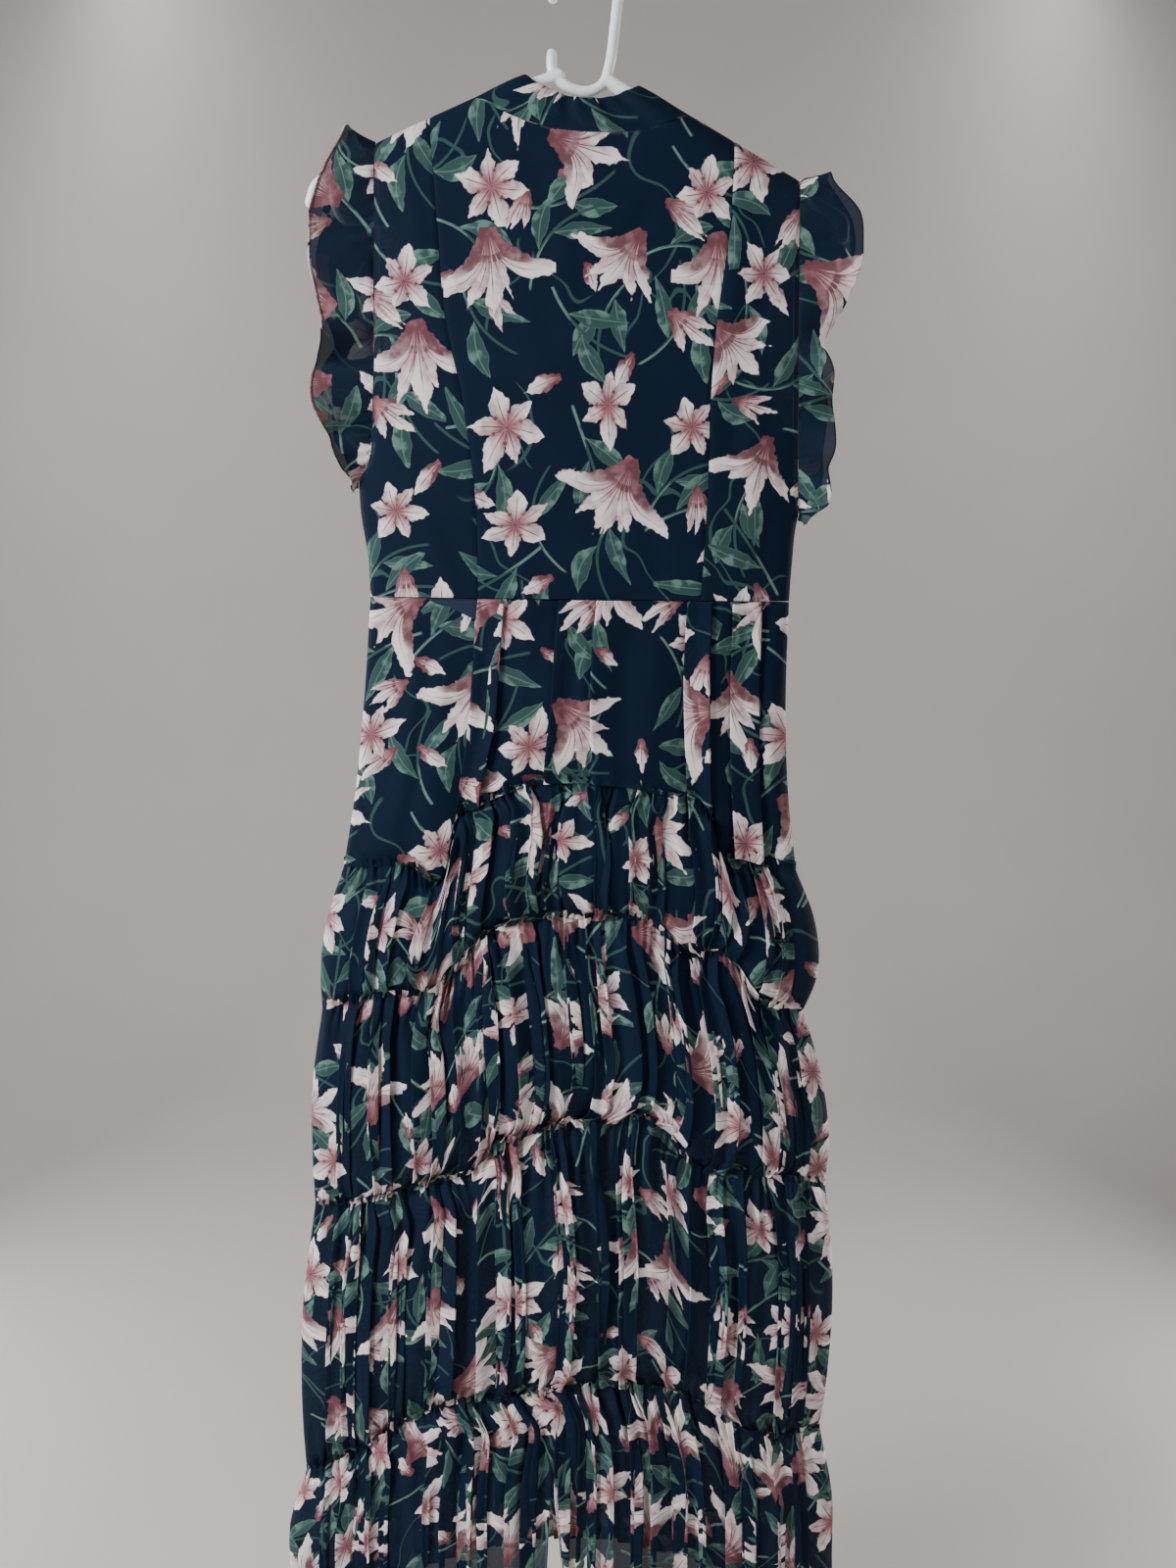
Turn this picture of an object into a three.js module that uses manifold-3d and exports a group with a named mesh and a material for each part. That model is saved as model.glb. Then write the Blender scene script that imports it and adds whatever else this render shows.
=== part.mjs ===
// A sleeveless maxi dress of printed chiffon on a moulded hanger, seen from the dress's back.
// Millimetres. +Z is up, -Y is the side that is seen, +X is that side's right.
// The origin is the inside top of the hanger's hook, where a rod carries it.
// Every cloth piece is a wall through a grid of points on one shared form, so that pieces meet at
// their seams.
import * as THREE from "three";
import { mergeVertices } from "three/addons/utils/BufferGeometryUtils.js";
import Module from "manifold-3d";

// Cloth
const CLOTH = 1.5; // wall of a chiffon piece
const COLLAR_CLOTH = 2.0; // the collar is two layers
const SEAM_GAP = 0.3;
const SKIRT_GAP = 0.5; // measured upright, where the skirt's seams step
const NECK_GAP = 0.8; // measured upright, where the neckline runs steeply
const LINING_SEWN = CLOTH + 0.4; // lining's mid surface inside the bodice's, where it is sewn in
const LINING_INSET = 3.5; // and elsewhere
const LINING_EASE = 30; // height in which it goes from one to the other
const SHOULDER_ROUND = 22; // drop in which the cloth rounds over the hanger's arm

// Heights
const WAIST_Z = -517;
const WAIST = { left: -184, right: 187, depth: 22 };
const SLIP_HEM_Z = -1010;
const FRONT_NECK_DROP = 70; // front neckline's low point, below the neck points
const BACK_NECK_DROP = 24;
const SLIT_END_Z = -335; // the centre front seam is left open above this
const SLIT_WIDTH = 4;
const UNDERARM = { leftX: -190, leftZ: -419, rightX: 190, rightZ: -442 };

// The silhouette's top line, over the hanger's arms and the collar's folded sides
const TOP_LINE = [
  { x: -230, z: -175 },
  { x: -171, z: -146 },
  { x: -90, z: -111 },
  { x: -49, z: -93 },
  { x: 0, z: -88 },
  { x: 47, z: -101 },
  { x: 89, z: -123 },
  { x: 180, z: -171 },
  { x: 235, z: -200 },
];
const NECK = { leftX: -90, leftZ: -111, rightX: 89, rightZ: -123 };
const COLLAR_TOP = { leftX: -49, leftZ: -93, rightX: 47, rightZ: -101, backDrop: 18, frontDrop: 58 };
const NECK_ROUND = 2.4; // exponent of the neckline's arch: flatter in the middle than a parabola

// The bodice's sides, where back and front would meet, and the depth of each layer from the middle plane
const BODICE = [
  { z: -80, left: -200, right: 208, depth: 14 },
  { z: -150, left: -200, right: 208, depth: 20 },
  { z: -250, left: -200, right: 208, depth: 27 },
  { z: -360, left: -199, right: 206, depth: 31 },
  { z: -419, left: -192, right: 199, depth: 30 },
  { z: -442, left: -191, right: 192, depth: 28 },
  { z: -486, left: -185, right: 188, depth: 25 },
  { z: WAIST_Z, ...WAIST },
];
const ARMHOLE = [
  { z: -140, left: -171, right: 179 },
  { z: -260, left: -173, right: 182 },
  { z: -340, left: -175, right: 185 },
  { z: -385, left: -178, right: 187 },
  { z: -405, left: -182, right: 188 },
  { z: UNDERARM.leftZ, left: -192, right: 189 },
  { z: UNDERARM.rightZ, left: -192, right: 192 },
];
const LINING_ARMHOLE = [
  { z: -140, left: -159, right: 157 },
  { z: -209, left: -156, right: 154 },
  { z: -240, left: -138, right: 154 },
  { z: -270, left: -127, right: 156 },
  { z: -315, left: -127, right: 158 },
  { z: -350, left: -135, right: 163 },
  { z: -372, left: -168, right: 181 },
  { z: -385, left: -198, right: 206 },
];
const PRINCESS = [
  { z: -125, left: -126, right: 125 },
  { z: -215, left: -119, right: 122 },
  { z: -291, left: -112, right: 113 },
  { z: -345, left: -100, right: 110 },
  { z: -425, left: -89, right: 110 },
  { z: WAIST_Z, left: -87, right: 107 },
];

// Grid of the bodice: rows below the top edge, rows down to the underarm and on to the waist, places of the
// columns beside an outer edge (shares of a side panel), and places round the neck from side to side
const TOP_DROPS = [0, 1.5, 5, 12, 24];
const ROWS = { armhole: 5, side: 3 };
const SIDE_SHARES = [0, 0.02, 0.08, 0.25];
const SIDE_INNER_SHARE = 0.66; // one more column on the back's side panels
const FRONT_SHOULDER_SHARE = 0.3; // one more column on each front, between its armhole and the neck
const LINING_SHOULDER_SHARE = 0.1; // one more column on the lining, beside its armhole
const NECK_INNER_PLACE = 0.3; // left out of the lining's columns
const NECK_PLACES = [-1, -0.97, -0.85, -0.6, -NECK_INNER_PLACE, 0, NECK_INNER_PLACE, 0.6, 0.85, 0.97, 1];
const COLLAR_STEPS = 2; // rows up the collar
// A point of a panel is found in turns: x from the edges at z, then z from the top edge at x
const FIRST_Z = -150;
const TURNS = 5;
const SAME_X = 0.01; // closer than this, a point is at a neck point
const NEARLY_ALONG = 0.99; // a surface that faces this much along a seam's direction keeps its own normal

// Skirt: each cross seam arches up in the middle, in steps at the folds. Columns are places across, -1 to 1.
const ACROSS = [-1, -0.7, -0.45, -0.2, 0.1, 0.45, 0.7, 1];
const SEAMS = {
  waist: [-517, -517, -517, -517, -517, -517, -517, -517],
  first: [-763, -757, -712, -684, -679, -693, -740, -762],
  second: [-902, -880, -868, -810, -804, -830, -864, -898],
  third: [-1104, -1083, -1055, -1018, -1001, -1024, -1058, -1075],
  fourth: [-1400, -1345, -1300, -1288, -1274, -1285, -1331, -1345],
  hem: [-1585, -1562, -1542, -1524, -1521, -1530, -1549, -1566],
};
// down: share of the piece's height, left and right: silhouette, depth: each layer from the middle plane
const SKIRT = [
  {
    name: "yoke", from: "waist", to: "first",
    rows: [
      { down: 0, ...WAIST },
      { down: 0.38, left: -192, right: 188, depth: 25 },
      { down: 0.72, left: -202, right: 194, depth: 28 },
      { down: 1, left: -214, right: 204, depth: 29 },
    ],
  },
  {
    name: "tier_1", from: "first", to: "second",
    rows: [
      { down: 0, left: -214, right: 204, depth: 29 },
      { down: 0.34, left: -230, right: 223, depth: 35 },
      { down: 0.8, left: -239, right: 227, depth: 37 },
      { down: 1, left: -238, right: 217, depth: 33 },
    ],
  },
  {
    name: "tier_2", from: "second", to: "third",
    rows: [
      { down: 0, left: -238, right: 217, depth: 33 },
      { down: 0.35, left: -249, right: 236, depth: 39 },
      { down: 0.8, left: -252, right: 248, depth: 42 },
      { down: 1, left: -251, right: 246, depth: 38 },
    ],
  },
  {
    name: "tier_3", from: "third", to: "fourth",
    rows: [
      { down: 0, left: -251, right: 246, depth: 38 },
      { down: 0.35, left: -266, right: 258, depth: 44 },
      { down: 0.8, left: -271, right: 258, depth: 47 },
      { down: 1, left: -269, right: 254, depth: 43 },
    ],
  },
  {
    name: "tier_4", from: "fourth", to: "hem",
    rows: [
      { down: 0, left: -269, right: 254, depth: 43 },
      { down: 0.35, left: -288, right: 270, depth: 49 },
      { down: 0.7, left: -290, right: 274, depth: 52 },
      { down: 1, left: -292, right: 278, depth: 54 },
    ],
  },
];
// Knife pleats in the yoke: x of the fold's edge at the waist, its drift down the yoke, its reach back
// and its height
const PLEATS = [
  { edge: -93, drift: 0, reach: 24, high: 4 },
  { edge: -68, drift: 0, reach: 20, high: 4 },
  { edge: -22, drift: 1, reach: 30, high: 2 },
  { edge: 11, drift: 1, reach: 26, high: 2 },
  { edge: 94, drift: 4, reach: 30, high: 4 },
  { edge: 119, drift: 6, reach: 20, high: 4 },
  { edge: 135, drift: 6, reach: 12, high: 4 },
  { edge: 164, drift: 8, reach: 20, high: 3 },
];
const PLEAT_TURN = 2.5; // width in which a pleat's edge drops back
const SIDE_PLACES = [0.94, 0.98, 0.995, 1]; // columns near a skirt piece's sides, as places across
const EVEN_PLACES = { back: 28, front: 24 }; // even columns between them
const PLACE_APART = 0.03; // least distance between an even place across and one at a seam's step
const SKIRT_STEPS = 3; // rows down a skirt piece
const SLIP_GRID = { around: 28, steps: 4 };
// Share of a gather's height that is there at the seam above, and share of the tier in which the rest
// comes and goes
const GATHER_START = 0.55;
const GATHER_GROWN = 0.8;
// Largest gathers of each tier: x of the middle, half width, height out of the layer (a trough is negative)
const GATHERS = {
  tier_1: [
    { at: -196, half: 16, high: 5 },
    { at: -158, half: 20, high: 6 },
    { at: -118, half: 18, high: 5 },
    { at: -80, half: 18, high: 7 },
    { at: -46, half: 15, high: -4 },
    { at: -12, half: 20, high: 6 },
    { at: 28, half: 17, high: 5 },
    { at: 64, half: 16, high: -4 },
    { at: 102, half: 22, high: 7 },
    { at: 146, half: 16, high: 5 },
    { at: 186, half: 18, high: 6 },
  ],
  tier_2: [
    { at: -206, half: 20, high: 6 },
    { at: -163, half: 20, high: 7 },
    { at: -120, half: 20, high: 6 },
    { at: -80, half: 20, high: 8 },
    { at: -38, half: 20, high: -12 },
    { at: 8, half: 24, high: 8 },
    { at: 56, half: 20, high: 7 },
    { at: 98, half: 20, high: -5 },
    { at: 138, half: 22, high: 8 },
    { at: 182, half: 20, high: 6 },
    { at: 218, half: 14, high: 5 },
  ],
  tier_3: [
    { at: -222, half: 22, high: 7 },
    { at: -176, half: 20, high: 7 },
    { at: -130, half: 22, high: 8 },
    { at: -78, half: 24, high: 9 },
    { at: -28, half: 24, high: -16 },
    { at: 26, half: 26, high: 10 },
    { at: 80, half: 22, high: 8 },
    { at: 124, half: 18, high: -5 },
    { at: 164, half: 22, high: 8 },
    { at: 212, half: 22, high: 7 },
  ],
  tier_4: [
    { at: -240, half: 24, high: 8 },
    { at: -190, half: 22, high: 8 },
    { at: -138, half: 24, high: 9 },
    { at: -82, half: 26, high: 10 },
    { at: -26, half: 26, high: -20 },
    { at: 32, half: 28, high: 11 },
    { at: 88, half: 22, high: 9 },
    { at: 134, half: 18, high: -6 },
    { at: 178, half: 24, high: 9 },
    { at: 230, half: 24, high: 8 },
  ],
};
const SLIP = [
  {
    z: WAIST_Z,
    left: WAIST.left + LINING_INSET,
    right: WAIST.right - LINING_INSET,
    depth: WAIST.depth - LINING_INSET,
  },
  { z: WAIST_Z - 60, left: -180, right: 183, depth: 16 },
  { z: -760, left: -187, right: 190, depth: 17 },
  { z: SLIP_HEM_Z, left: -198, right: 201, depth: 18 },
];

// Flutter ruffles: z, armhole seam, outer edge, and how far the outer edge stands from the middle plane
const RUFFLE_LEFT = [
  { z: -424, seam: -193, edge: -202, out: 3 },
  { z: -396, seam: -182, edge: -209, out: 14 },
  { z: -360, seam: -176, edge: -220, out: 24 },
  { z: -326, seam: -175, edge: -227, out: 14 },
  { z: -296, seam: -174, edge: -225, out: 27 },
  { z: -270, seam: -173, edge: -215, out: 13 },
  { z: -240, seam: -173, edge: -224, out: 26 },
  { z: -206, seam: -172, edge: -222, out: 14 },
  { z: -176, seam: -172, edge: -211, out: 22 },
  { z: -150, seam: -172, edge: -203, out: 11 },
];
const RUFFLE_RIGHT = [
  { z: -447, seam: 193, edge: 203, out: 3 },
  { z: -424, seam: 190, edge: 213, out: 14 },
  { z: -388, seam: 188, edge: 208, out: 23 },
  { z: -352, seam: 186, edge: 209, out: 12 },
  { z: -318, seam: 185, edge: 208, out: 24 },
  { z: -284, seam: 184, edge: 206, out: 12 },
  { z: -254, seam: 183, edge: 214, out: 26 },
  { z: -222, seam: 182, edge: 224, out: 13 },
  { z: -196, seam: 181, edge: 222, out: 22 },
  { z: -176, seam: 180, edge: 213, out: 11 },
];
const RUFFLE_CREST = { left: { x: -194, z: -133 }, right: { x: 204, z: -165 } };
const RUFFLE_STEPS = 3; // from the seam to the edge
const RUFFLE_SHORT = 0.15; // share of the last row by which a ruffle's ends stop short of the underarm

// Hanger, one moulding of round bars
const BAR_R = { hook: 4.5, arm: 5.3, rail: 4 };
const HOOK = { radius: 28, startDeg: -6, endDeg: 205, stepDeg: 21.1 };
const BAR_SIDES = 8;
const BAR_STEP = 16; // along a bar, from one section to the next
const LEAST_BAR_STEPS = 8;
const BALL = { share: 0.99, rings: 5 }; // the ball at a bar's end: share of the bar's radius, rings
const NECK_ROUTE = [
  [-26, -77], [-25.5, -88], [-16, -99.5], [2, -105], [16, -99], [21.5, -84], [25, -58],
];
const ARM_BELOW = 10.0; // arm's centre line under the top line: cloth, lining, a gap and the arm's radius
// An arm's start, the x of its points under the cloth, and the points of its turned down tip
const ARM_LEFT = {
  start: [-20, -93],
  under: [-49, -90, -130, -171],
  tip: [[-206, -171], [-221, -179], [-226.5, -192]],
};
const ARM_RIGHT = {
  start: [19, -96],
  under: [47, 89, 135, 180],
  tip: [[206, -194], [218, -202], [219, -215]],
};
const RAIL = [
  [-208, -170], [-207, -192], [-200, -204.5], [-184, -206.5], [-60, -212], [60, -218], [160, -222.5],
  [175, -220], [181, -207], [181.5, -182],
];
const WELD = 1e-4; // corners closer than this are one corner

const chiffon = () => new THREE.MeshStandardMaterial({ color: 0x1b2233, roughness: 0.85, metalness: 0 });
const liningCloth = () => new THREE.MeshStandardMaterial({ color: 0x0d1526, roughness: 0.7, metalness: 0 });
const plastic = () => new THREE.MeshStandardMaterial({ color: 0xf1f2f3, roughness: 0.3, metalness: 0 });

const mix = (a, b, t) => a + (b - a) * t;
const clamp = (v, low, high) => Math.min(high, Math.max(low, v));

// The value of one column of a table at a key, on straight lines between its rows
function look(rows, key, at, column) {
  const rising = rows[rows.length - 1][key] > rows[0][key];
  let i = 0;
  while (i < rows.length - 2 && (rising ? at > rows[i + 1][key] : at < rows[i + 1][key])) {
    i++;
  }
  const t = clamp((at - rows[i][key]) / (rows[i + 1][key] - rows[i][key]), 0, 1);
  return mix(rows[i][column], rows[i + 1][column], t);
}

// A closed wall of the given thickness through a grid of points. The grid runs across, then down, as
// seen from outside, and a tube's last column joins its first. Each edge that meets another piece names
// the direction across its seam, so that its end face is square to the seam.
function wall(name, grid, thickness, material, { top, bottom, first, last, tube = false } = {}) {
  const down = grid.length;
  const across = grid[0].length;
  const outer = [];
  const inner = [];
  const d1 = new THREE.Vector3();
  const d2 = new THREE.Vector3();
  const col = (c) => (tube ? (c + across) % across : clamp(c, 0, across - 1));
  for (let r = 0; r < down; r++) {
    for (let c = 0; c < across; c++) {
      d1.subVectors(grid[r][col(c + 1)], grid[r][col(c - 1)]);
      d2.subVectors(grid[Math.min(r + 1, down - 1)][c], grid[Math.max(r - 1, 0)][c]);
      const normal = d2.clone().cross(d1).normalize();
      const edges = [r === 0 && top, r === down - 1 && bottom, c === 0 && first, c === across - 1 && last];
      for (const seam of edges.filter(Boolean)) {
        const axis = typeof seam === "function" ? seam(grid[r][c], r) : seam;
        if (axis && Math.abs(normal[axis]) < NEARLY_ALONG) normal[axis] = 0;
      }
      normal.setLength(thickness / 2);
      outer.push(grid[r][c].clone().add(normal));
      inner.push(grid[r][c].clone().sub(normal));
    }
  }
  const points = [...outer, ...inner];
  const half = outer.length;
  const faces = [];
  const at = (r, c) => r * across + (c % across);
  const quad = (a, b, c, d) => faces.push(a, b, c, a, c, d);
  const spans = tube ? across : across - 1;
  for (let r = 0; r < down - 1; r++) {
    for (let c = 0; c < spans; c++) {
      quad(at(r, c), at(r + 1, c), at(r + 1, c + 1), at(r, c + 1));
      quad(half + at(r, c), half + at(r, c + 1), half + at(r + 1, c + 1), half + at(r + 1, c));
    }
  }
  for (let c = 0; c < spans; c++) {
    quad(at(0, c), at(0, c + 1), half + at(0, c + 1), half + at(0, c));
    quad(at(down - 1, c + 1), at(down - 1, c), half + at(down - 1, c), half + at(down - 1, c + 1));
  }
  // A tube has no first and last column to close
  for (let r = 0; r < down - 1 && !tube; r++) {
    quad(at(r + 1, 0), at(r, 0), half + at(r, 0), half + at(r + 1, 0));
    quad(at(r, across - 1), at(r + 1, across - 1), half + at(r + 1, across - 1), half + at(r, across - 1));
  }
  const geometry = new THREE.BufferGeometry();
  const numbers = points.flatMap((p) => [p.x, p.y, p.z]);
  geometry.setAttribute("position", new THREE.Float32BufferAttribute(numbers, 3));
  geometry.setIndex(faces);
  const mesh = new THREE.Mesh(geometry, material);
  mesh.name = name;
  return mesh;
}

// Depth of one layer of the bodice or collar at a place, rounding to nothing at the top line and the sides
function bodiceDepth(x, z, inset) {
  const left = look(BODICE, "z", z, "left") + inset;
  const right = look(BODICE, "z", z, "right") - inset;
  const s = clamp((x - (left + right) / 2) / ((right - left) / 2), -1, 1);
  const below = clamp((look(TOP_LINE, "x", x, "z") - inset - z) / SHOULDER_ROUND, 0, 1);
  return (look(BODICE, "z", z, "depth") - inset) * Math.sqrt(1 - s * s) * Math.sqrt(1 - (1 - below) ** 2);
}

// A point of the back (side -1) or front (side 1) layer, kept half a seam's gap from the middle plane
function layerPoint(x, z, side, inset = 0) {
  return new THREE.Vector3(x, side * Math.max(bodiceDepth(x, z, inset), SEAM_GAP / 2), z);
}

// The lining lies closer to the bodice at the neckline, where it is sewn in
const liningInset = (z, top) => mix(LINING_SEWN, LINING_INSET, clamp((top - z) / LINING_EASE, 0, 1));

// The neckline under the collar: its height at x, on the back or the front
function neckZ(x, side) {
  const t = clamp((x - NECK.leftX) / (NECK.rightX - NECK.leftX), 0, 1);
  const drop = side < 0 ? BACK_NECK_DROP : FRONT_NECK_DROP;
  return mix(NECK.leftZ, NECK.rightZ, t) - drop * (1 - Math.abs(2 * t - 1) ** NECK_ROUND);
}

const neckX = (s) => mix(NECK.leftX, NECK.rightX, (s + 1) / 2);
const neckShares = (from, to, places) => places.map((s) => (neckX(s) - from) / (to - from));
const inNeck = (x) => x > NECK.leftX + SAME_X && x < NECK.rightX - SAME_X;

// Top edge of a bodice panel: the shoulder seam, or the neckline between the neck points
function bodiceTop(x, side, inset) {
  const atNeckPoint = Math.min(Math.abs(x - NECK.leftX), Math.abs(x - NECK.rightX)) < SAME_X;
  if (atNeckPoint) {
    return neckZ(x, side) - NECK_GAP - CLOTH / 2 - inset;
  }
  return (inNeck(x) ? neckZ(x, side) - NECK_GAP : look(TOP_LINE, "x", x, "z")) - inset;
}

// Grid of a bodice panel between two edges, which are functions of height. shares are the columns'
// places between the edges. Rows follow the rounding over the hanger's arm, then run to the underarm
// and on to the waist.
function bodiceGrid(side, leftEdge, rightEdge, shares, lining = false) {
  const grid = [];
  const order = side < 0 ? shares : [...shares].reverse();
  const lastDrop = TOP_DROPS[TOP_DROPS.length - 1];
  for (let r = 0; r < TOP_DROPS.length + ROWS.armhole + ROWS.side; r++) {
    grid.push(order.map((share) => {
      let z = FIRST_Z;
      let x = 0;
      let inset = lining ? LINING_INSET : 0;
      for (let turn = 0; turn < TURNS; turn++) {
        x = mix(leftEdge(z), rightEdge(z), share);
        const top = bodiceTop(x, side, lining ? LINING_SEWN : 0);
        const across = clamp((x - UNDERARM.leftX) / (UNDERARM.rightX - UNDERARM.leftX), 0, 1);
        const underarm = mix(UNDERARM.leftZ, UNDERARM.rightZ, across);
        const arm = (r - TOP_DROPS.length + 1) / ROWS.armhole;
        z = arm <= 0 ? top - TOP_DROPS[r]
          : arm <= 1 ? mix(top - lastDrop, underarm, arm)
          : mix(underarm, WAIST_Z + SEAM_GAP, (arm - 1) * ROWS.armhole / ROWS.side);
        if (lining) {
          inset = liningInset(z, top);
        }
      }
      return layerPoint(x, z, side, inset);
    }));
  }
  return grid;
}

// The outer edge of a bodice piece: the armhole down to the underarm, then the side seam
function outerEdge(sideName) {
  const inner = sideName === "left" ? Math.max : Math.min;
  return (z) => inner(look(BODICE, "z", z, sideName), look(ARMHOLE, "z", z, sideName));
}

// The lining's outer edge is cut further in at the armhole, and elsewhere lies inside the bodice's
function liningEdge(sideName) {
  const outer = outerEdge(sideName);
  const sign = sideName === "left" ? 1 : -1;
  const inner = sideName === "left" ? Math.max : Math.min;
  return (z) => inner(outer(z) + sign * LINING_INSET, look(LINING_ARMHOLE, "z", z, sideName));
}

// Direction across a bodice piece's edges: the top is a shoulder seam or the neckline, and the outer edge
// is the armhole down to the underarm's row, then the side seam
const topSeam = (point) => (inNeck(point.x) ? "z" : "y");
const outerSeam = (point, row) => (row < TOP_DROPS.length + ROWS.armhole - 1 ? "x" : "y");

function makeBodice() {
  const left = outerEdge("left");
  const right = outerEdge("right");
  const half = SEAM_GAP / 2;
  const seamLeft = (z) => look(PRINCESS, "z", z, "left");
  const seamRight = (z) => look(PRINCESS, "z", z, "right");
  const slit = (z) => (z > SLIT_END_Z ? SLIT_WIDTH / 2 : half);
  const mid = NECK_PLACES.length >> 1;
  const sideLeft = [...SIDE_SHARES, SIDE_INNER_SHARE, 1];
  const sideRight = sideLeft.map((s) => 1 - s).reverse();
  const centre = [0, ...neckShares(PRINCESS[0].left + half, PRINCESS[0].right - half, NECK_PLACES), 1];
  const shoulder = [...SIDE_SHARES.map((s) => s / 2), FRONT_SHOULDER_SHARE];
  const neckLeft = neckShares(ARMHOLE[0].left, -SLIT_WIDTH / 2, NECK_PLACES.slice(0, mid));
  const neckRight = neckShares(SLIT_WIDTH / 2, ARMHOLE[0].right, NECK_PLACES.slice(mid + 1));
  const pieces = [
    {
      name: "bodice_back_side_left", side: -1, shares: sideLeft,
      from: left, to: (z) => seamLeft(z) - half, first: outerSeam, last: "x",
    },
    {
      name: "bodice_back_centre", side: -1, shares: centre,
      from: (z) => seamLeft(z) + half, to: (z) => seamRight(z) - half, first: "x", last: "x",
    },
    {
      name: "bodice_back_side_right", side: -1, shares: sideRight,
      from: (z) => seamRight(z) + half, to: right, first: "x", last: outerSeam,
    },
    {
      name: "bodice_front_left", side: 1, shares: [...shoulder, ...neckLeft, 1],
      from: left, to: (z) => -slit(z), first: "x", last: outerSeam,
    },
    {
      name: "bodice_front_right", side: 1, shares: [0, ...neckRight, ...shoulder.map((s) => 1 - s).reverse()],
      from: slit, to: right, first: outerSeam, last: "x",
    },
  ];
  return pieces.map(({ name, side, shares, from, to, first, last }) => {
    const seams = { top: topSeam, bottom: "z", first, last };
    return wall(name, bodiceGrid(side, from, to, shares), CLOTH, chiffon(), seams);
  });
}

function makeLining() {
  const left = liningEdge("left");
  const right = liningEdge("right");
  const sides = [...SIDE_SHARES.slice(0, 3).map((s) => s / 3), LINING_SHOULDER_SHARE];
  const places = NECK_PLACES.filter((s) => Math.abs(s) !== NECK_INNER_PLACE);
  const neck = neckShares(LINING_ARMHOLE[0].left, LINING_ARMHOLE[0].right, places);
  const shares = [...sides, ...neck, ...sides.map((s) => 1 - s).reverse()];
  const seams = { top: topSeam, bottom: "z", first: "y", last: "y" };
  return [["lining_back", -1], ["lining_front", 1]].map(([name, side]) =>
    wall(name, bodiceGrid(side, left, right, shares, true), CLOTH, liningCloth(), seams));
}

// One band round the neck, from the centre front round the back to the centre front
function makeCollar() {
  const grid = [];
  const mid = NECK_PLACES.length >> 1;
  const endX = SLIT_WIDTH / 2;
  const leftHalf = NECK_PLACES.slice(0, mid);
  const rightHalf = NECK_PLACES.slice(mid + 1);
  const stations = [
    { side: 1, s: 0, seamX: -endX },
    ...leftHalf.toReversed().map((s) => ({ side: 1, s, seamX: neckX(s) })),
    ...NECK_PLACES.slice(1, -1).map((s) => ({ side: -1, s, seamX: neckX(s) })),
    ...rightHalf.toReversed().map((s) => ({ side: 1, s, seamX: neckX(s) })),
    { side: 1, s: 0, seamX: endX },
  ];
  for (let up = COLLAR_STEPS; up >= 0; up--) {
    grid.push(stations.map(({ side, s, seamX }) => {
      const t = (s + 1) / 2;
      const arch = 1 - Math.abs(s) ** NECK_ROUND;
      const topX = s === 0 && side > 0 ? seamX : mix(COLLAR_TOP.leftX, COLLAR_TOP.rightX, t);
      const drop = side < 0 ? COLLAR_TOP.backDrop : COLLAR_TOP.frontDrop;
      const topZ = mix(COLLAR_TOP.leftZ, COLLAR_TOP.rightZ, t) - drop * arch;
      const share = up / COLLAR_STEPS;
      return layerPoint(mix(seamX, topX, share), mix(neckZ(seamX, side), topZ, share), side);
    }));
  }
  return wall("collar", grid, COLLAR_CLOTH, chiffon(), { bottom: "z" });
}

// Places across a skirt piece: close together at the sides, at each step of the seams, and evenly between
function placesAcross(count, extra) {
  const ends = SIDE_PLACES.flatMap((s) => [-s, s]);
  const fixed = [...ends, ...ACROSS.slice(1, -1), ...extra];
  for (let i = 1; i < count; i++) {
    const s = mix(-SIDE_PLACES[0], SIDE_PLACES[0], i / count);
    if (fixed.every((e) => Math.abs(e - s) > PLACE_APART)) {
      fixed.push(s);
    }
  }
  return fixed.sort((a, b) => a - b);
}

// Height of a seam at a place across: as seen on the back, and on the front an even arch with the same ends
function seamZ(name, s, side) {
  const rows = ACROSS.map((across, i) => ({ s: across, z: SEAMS[name][i] }));
  if (side < 0) {
    return look(rows, "s", s, "z");
  }
  const ends = mix(rows[0].z, rows[rows.length - 1].z, (s + 1) / 2);
  const middle = Math.max(...SEAMS[name]);
  return ends + (middle - (rows[0].z + rows[rows.length - 1].z) / 2) * Math.cos((s * Math.PI) / 2) ** 2;
}

// Height of the folds above the layer at a place: knife pleats in the yoke, soft gathers in the tiers
function foldHeight(piece, x, down) {
  if (piece === "yoke") {
    return Math.max(0, ...PLEATS.map(({ edge, drift, reach, high }) => {
      const d = x - edge - drift * down;
      return d <= 0 ? high * (1 + d / reach) : high * (1 - d / PLEAT_TURN);
    }));
  }
  const grown = mix(GATHER_START, 1, Math.sin(Math.PI * clamp(down, 0, GATHER_GROWN)));
  return GATHERS[piece].reduce((sum, { at, half, high }) => {
    const d = Math.abs(x - at) / half;
    return d < 1 ? sum + high * grown * Math.cos((d * Math.PI) / 2) ** 2 : sum;
  }, 0);
}

// Place across the waist of an x on it
const waistPlace = (x) => (2 * x - WAIST.left - WAIST.right) / (WAIST.right - WAIST.left);

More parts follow.
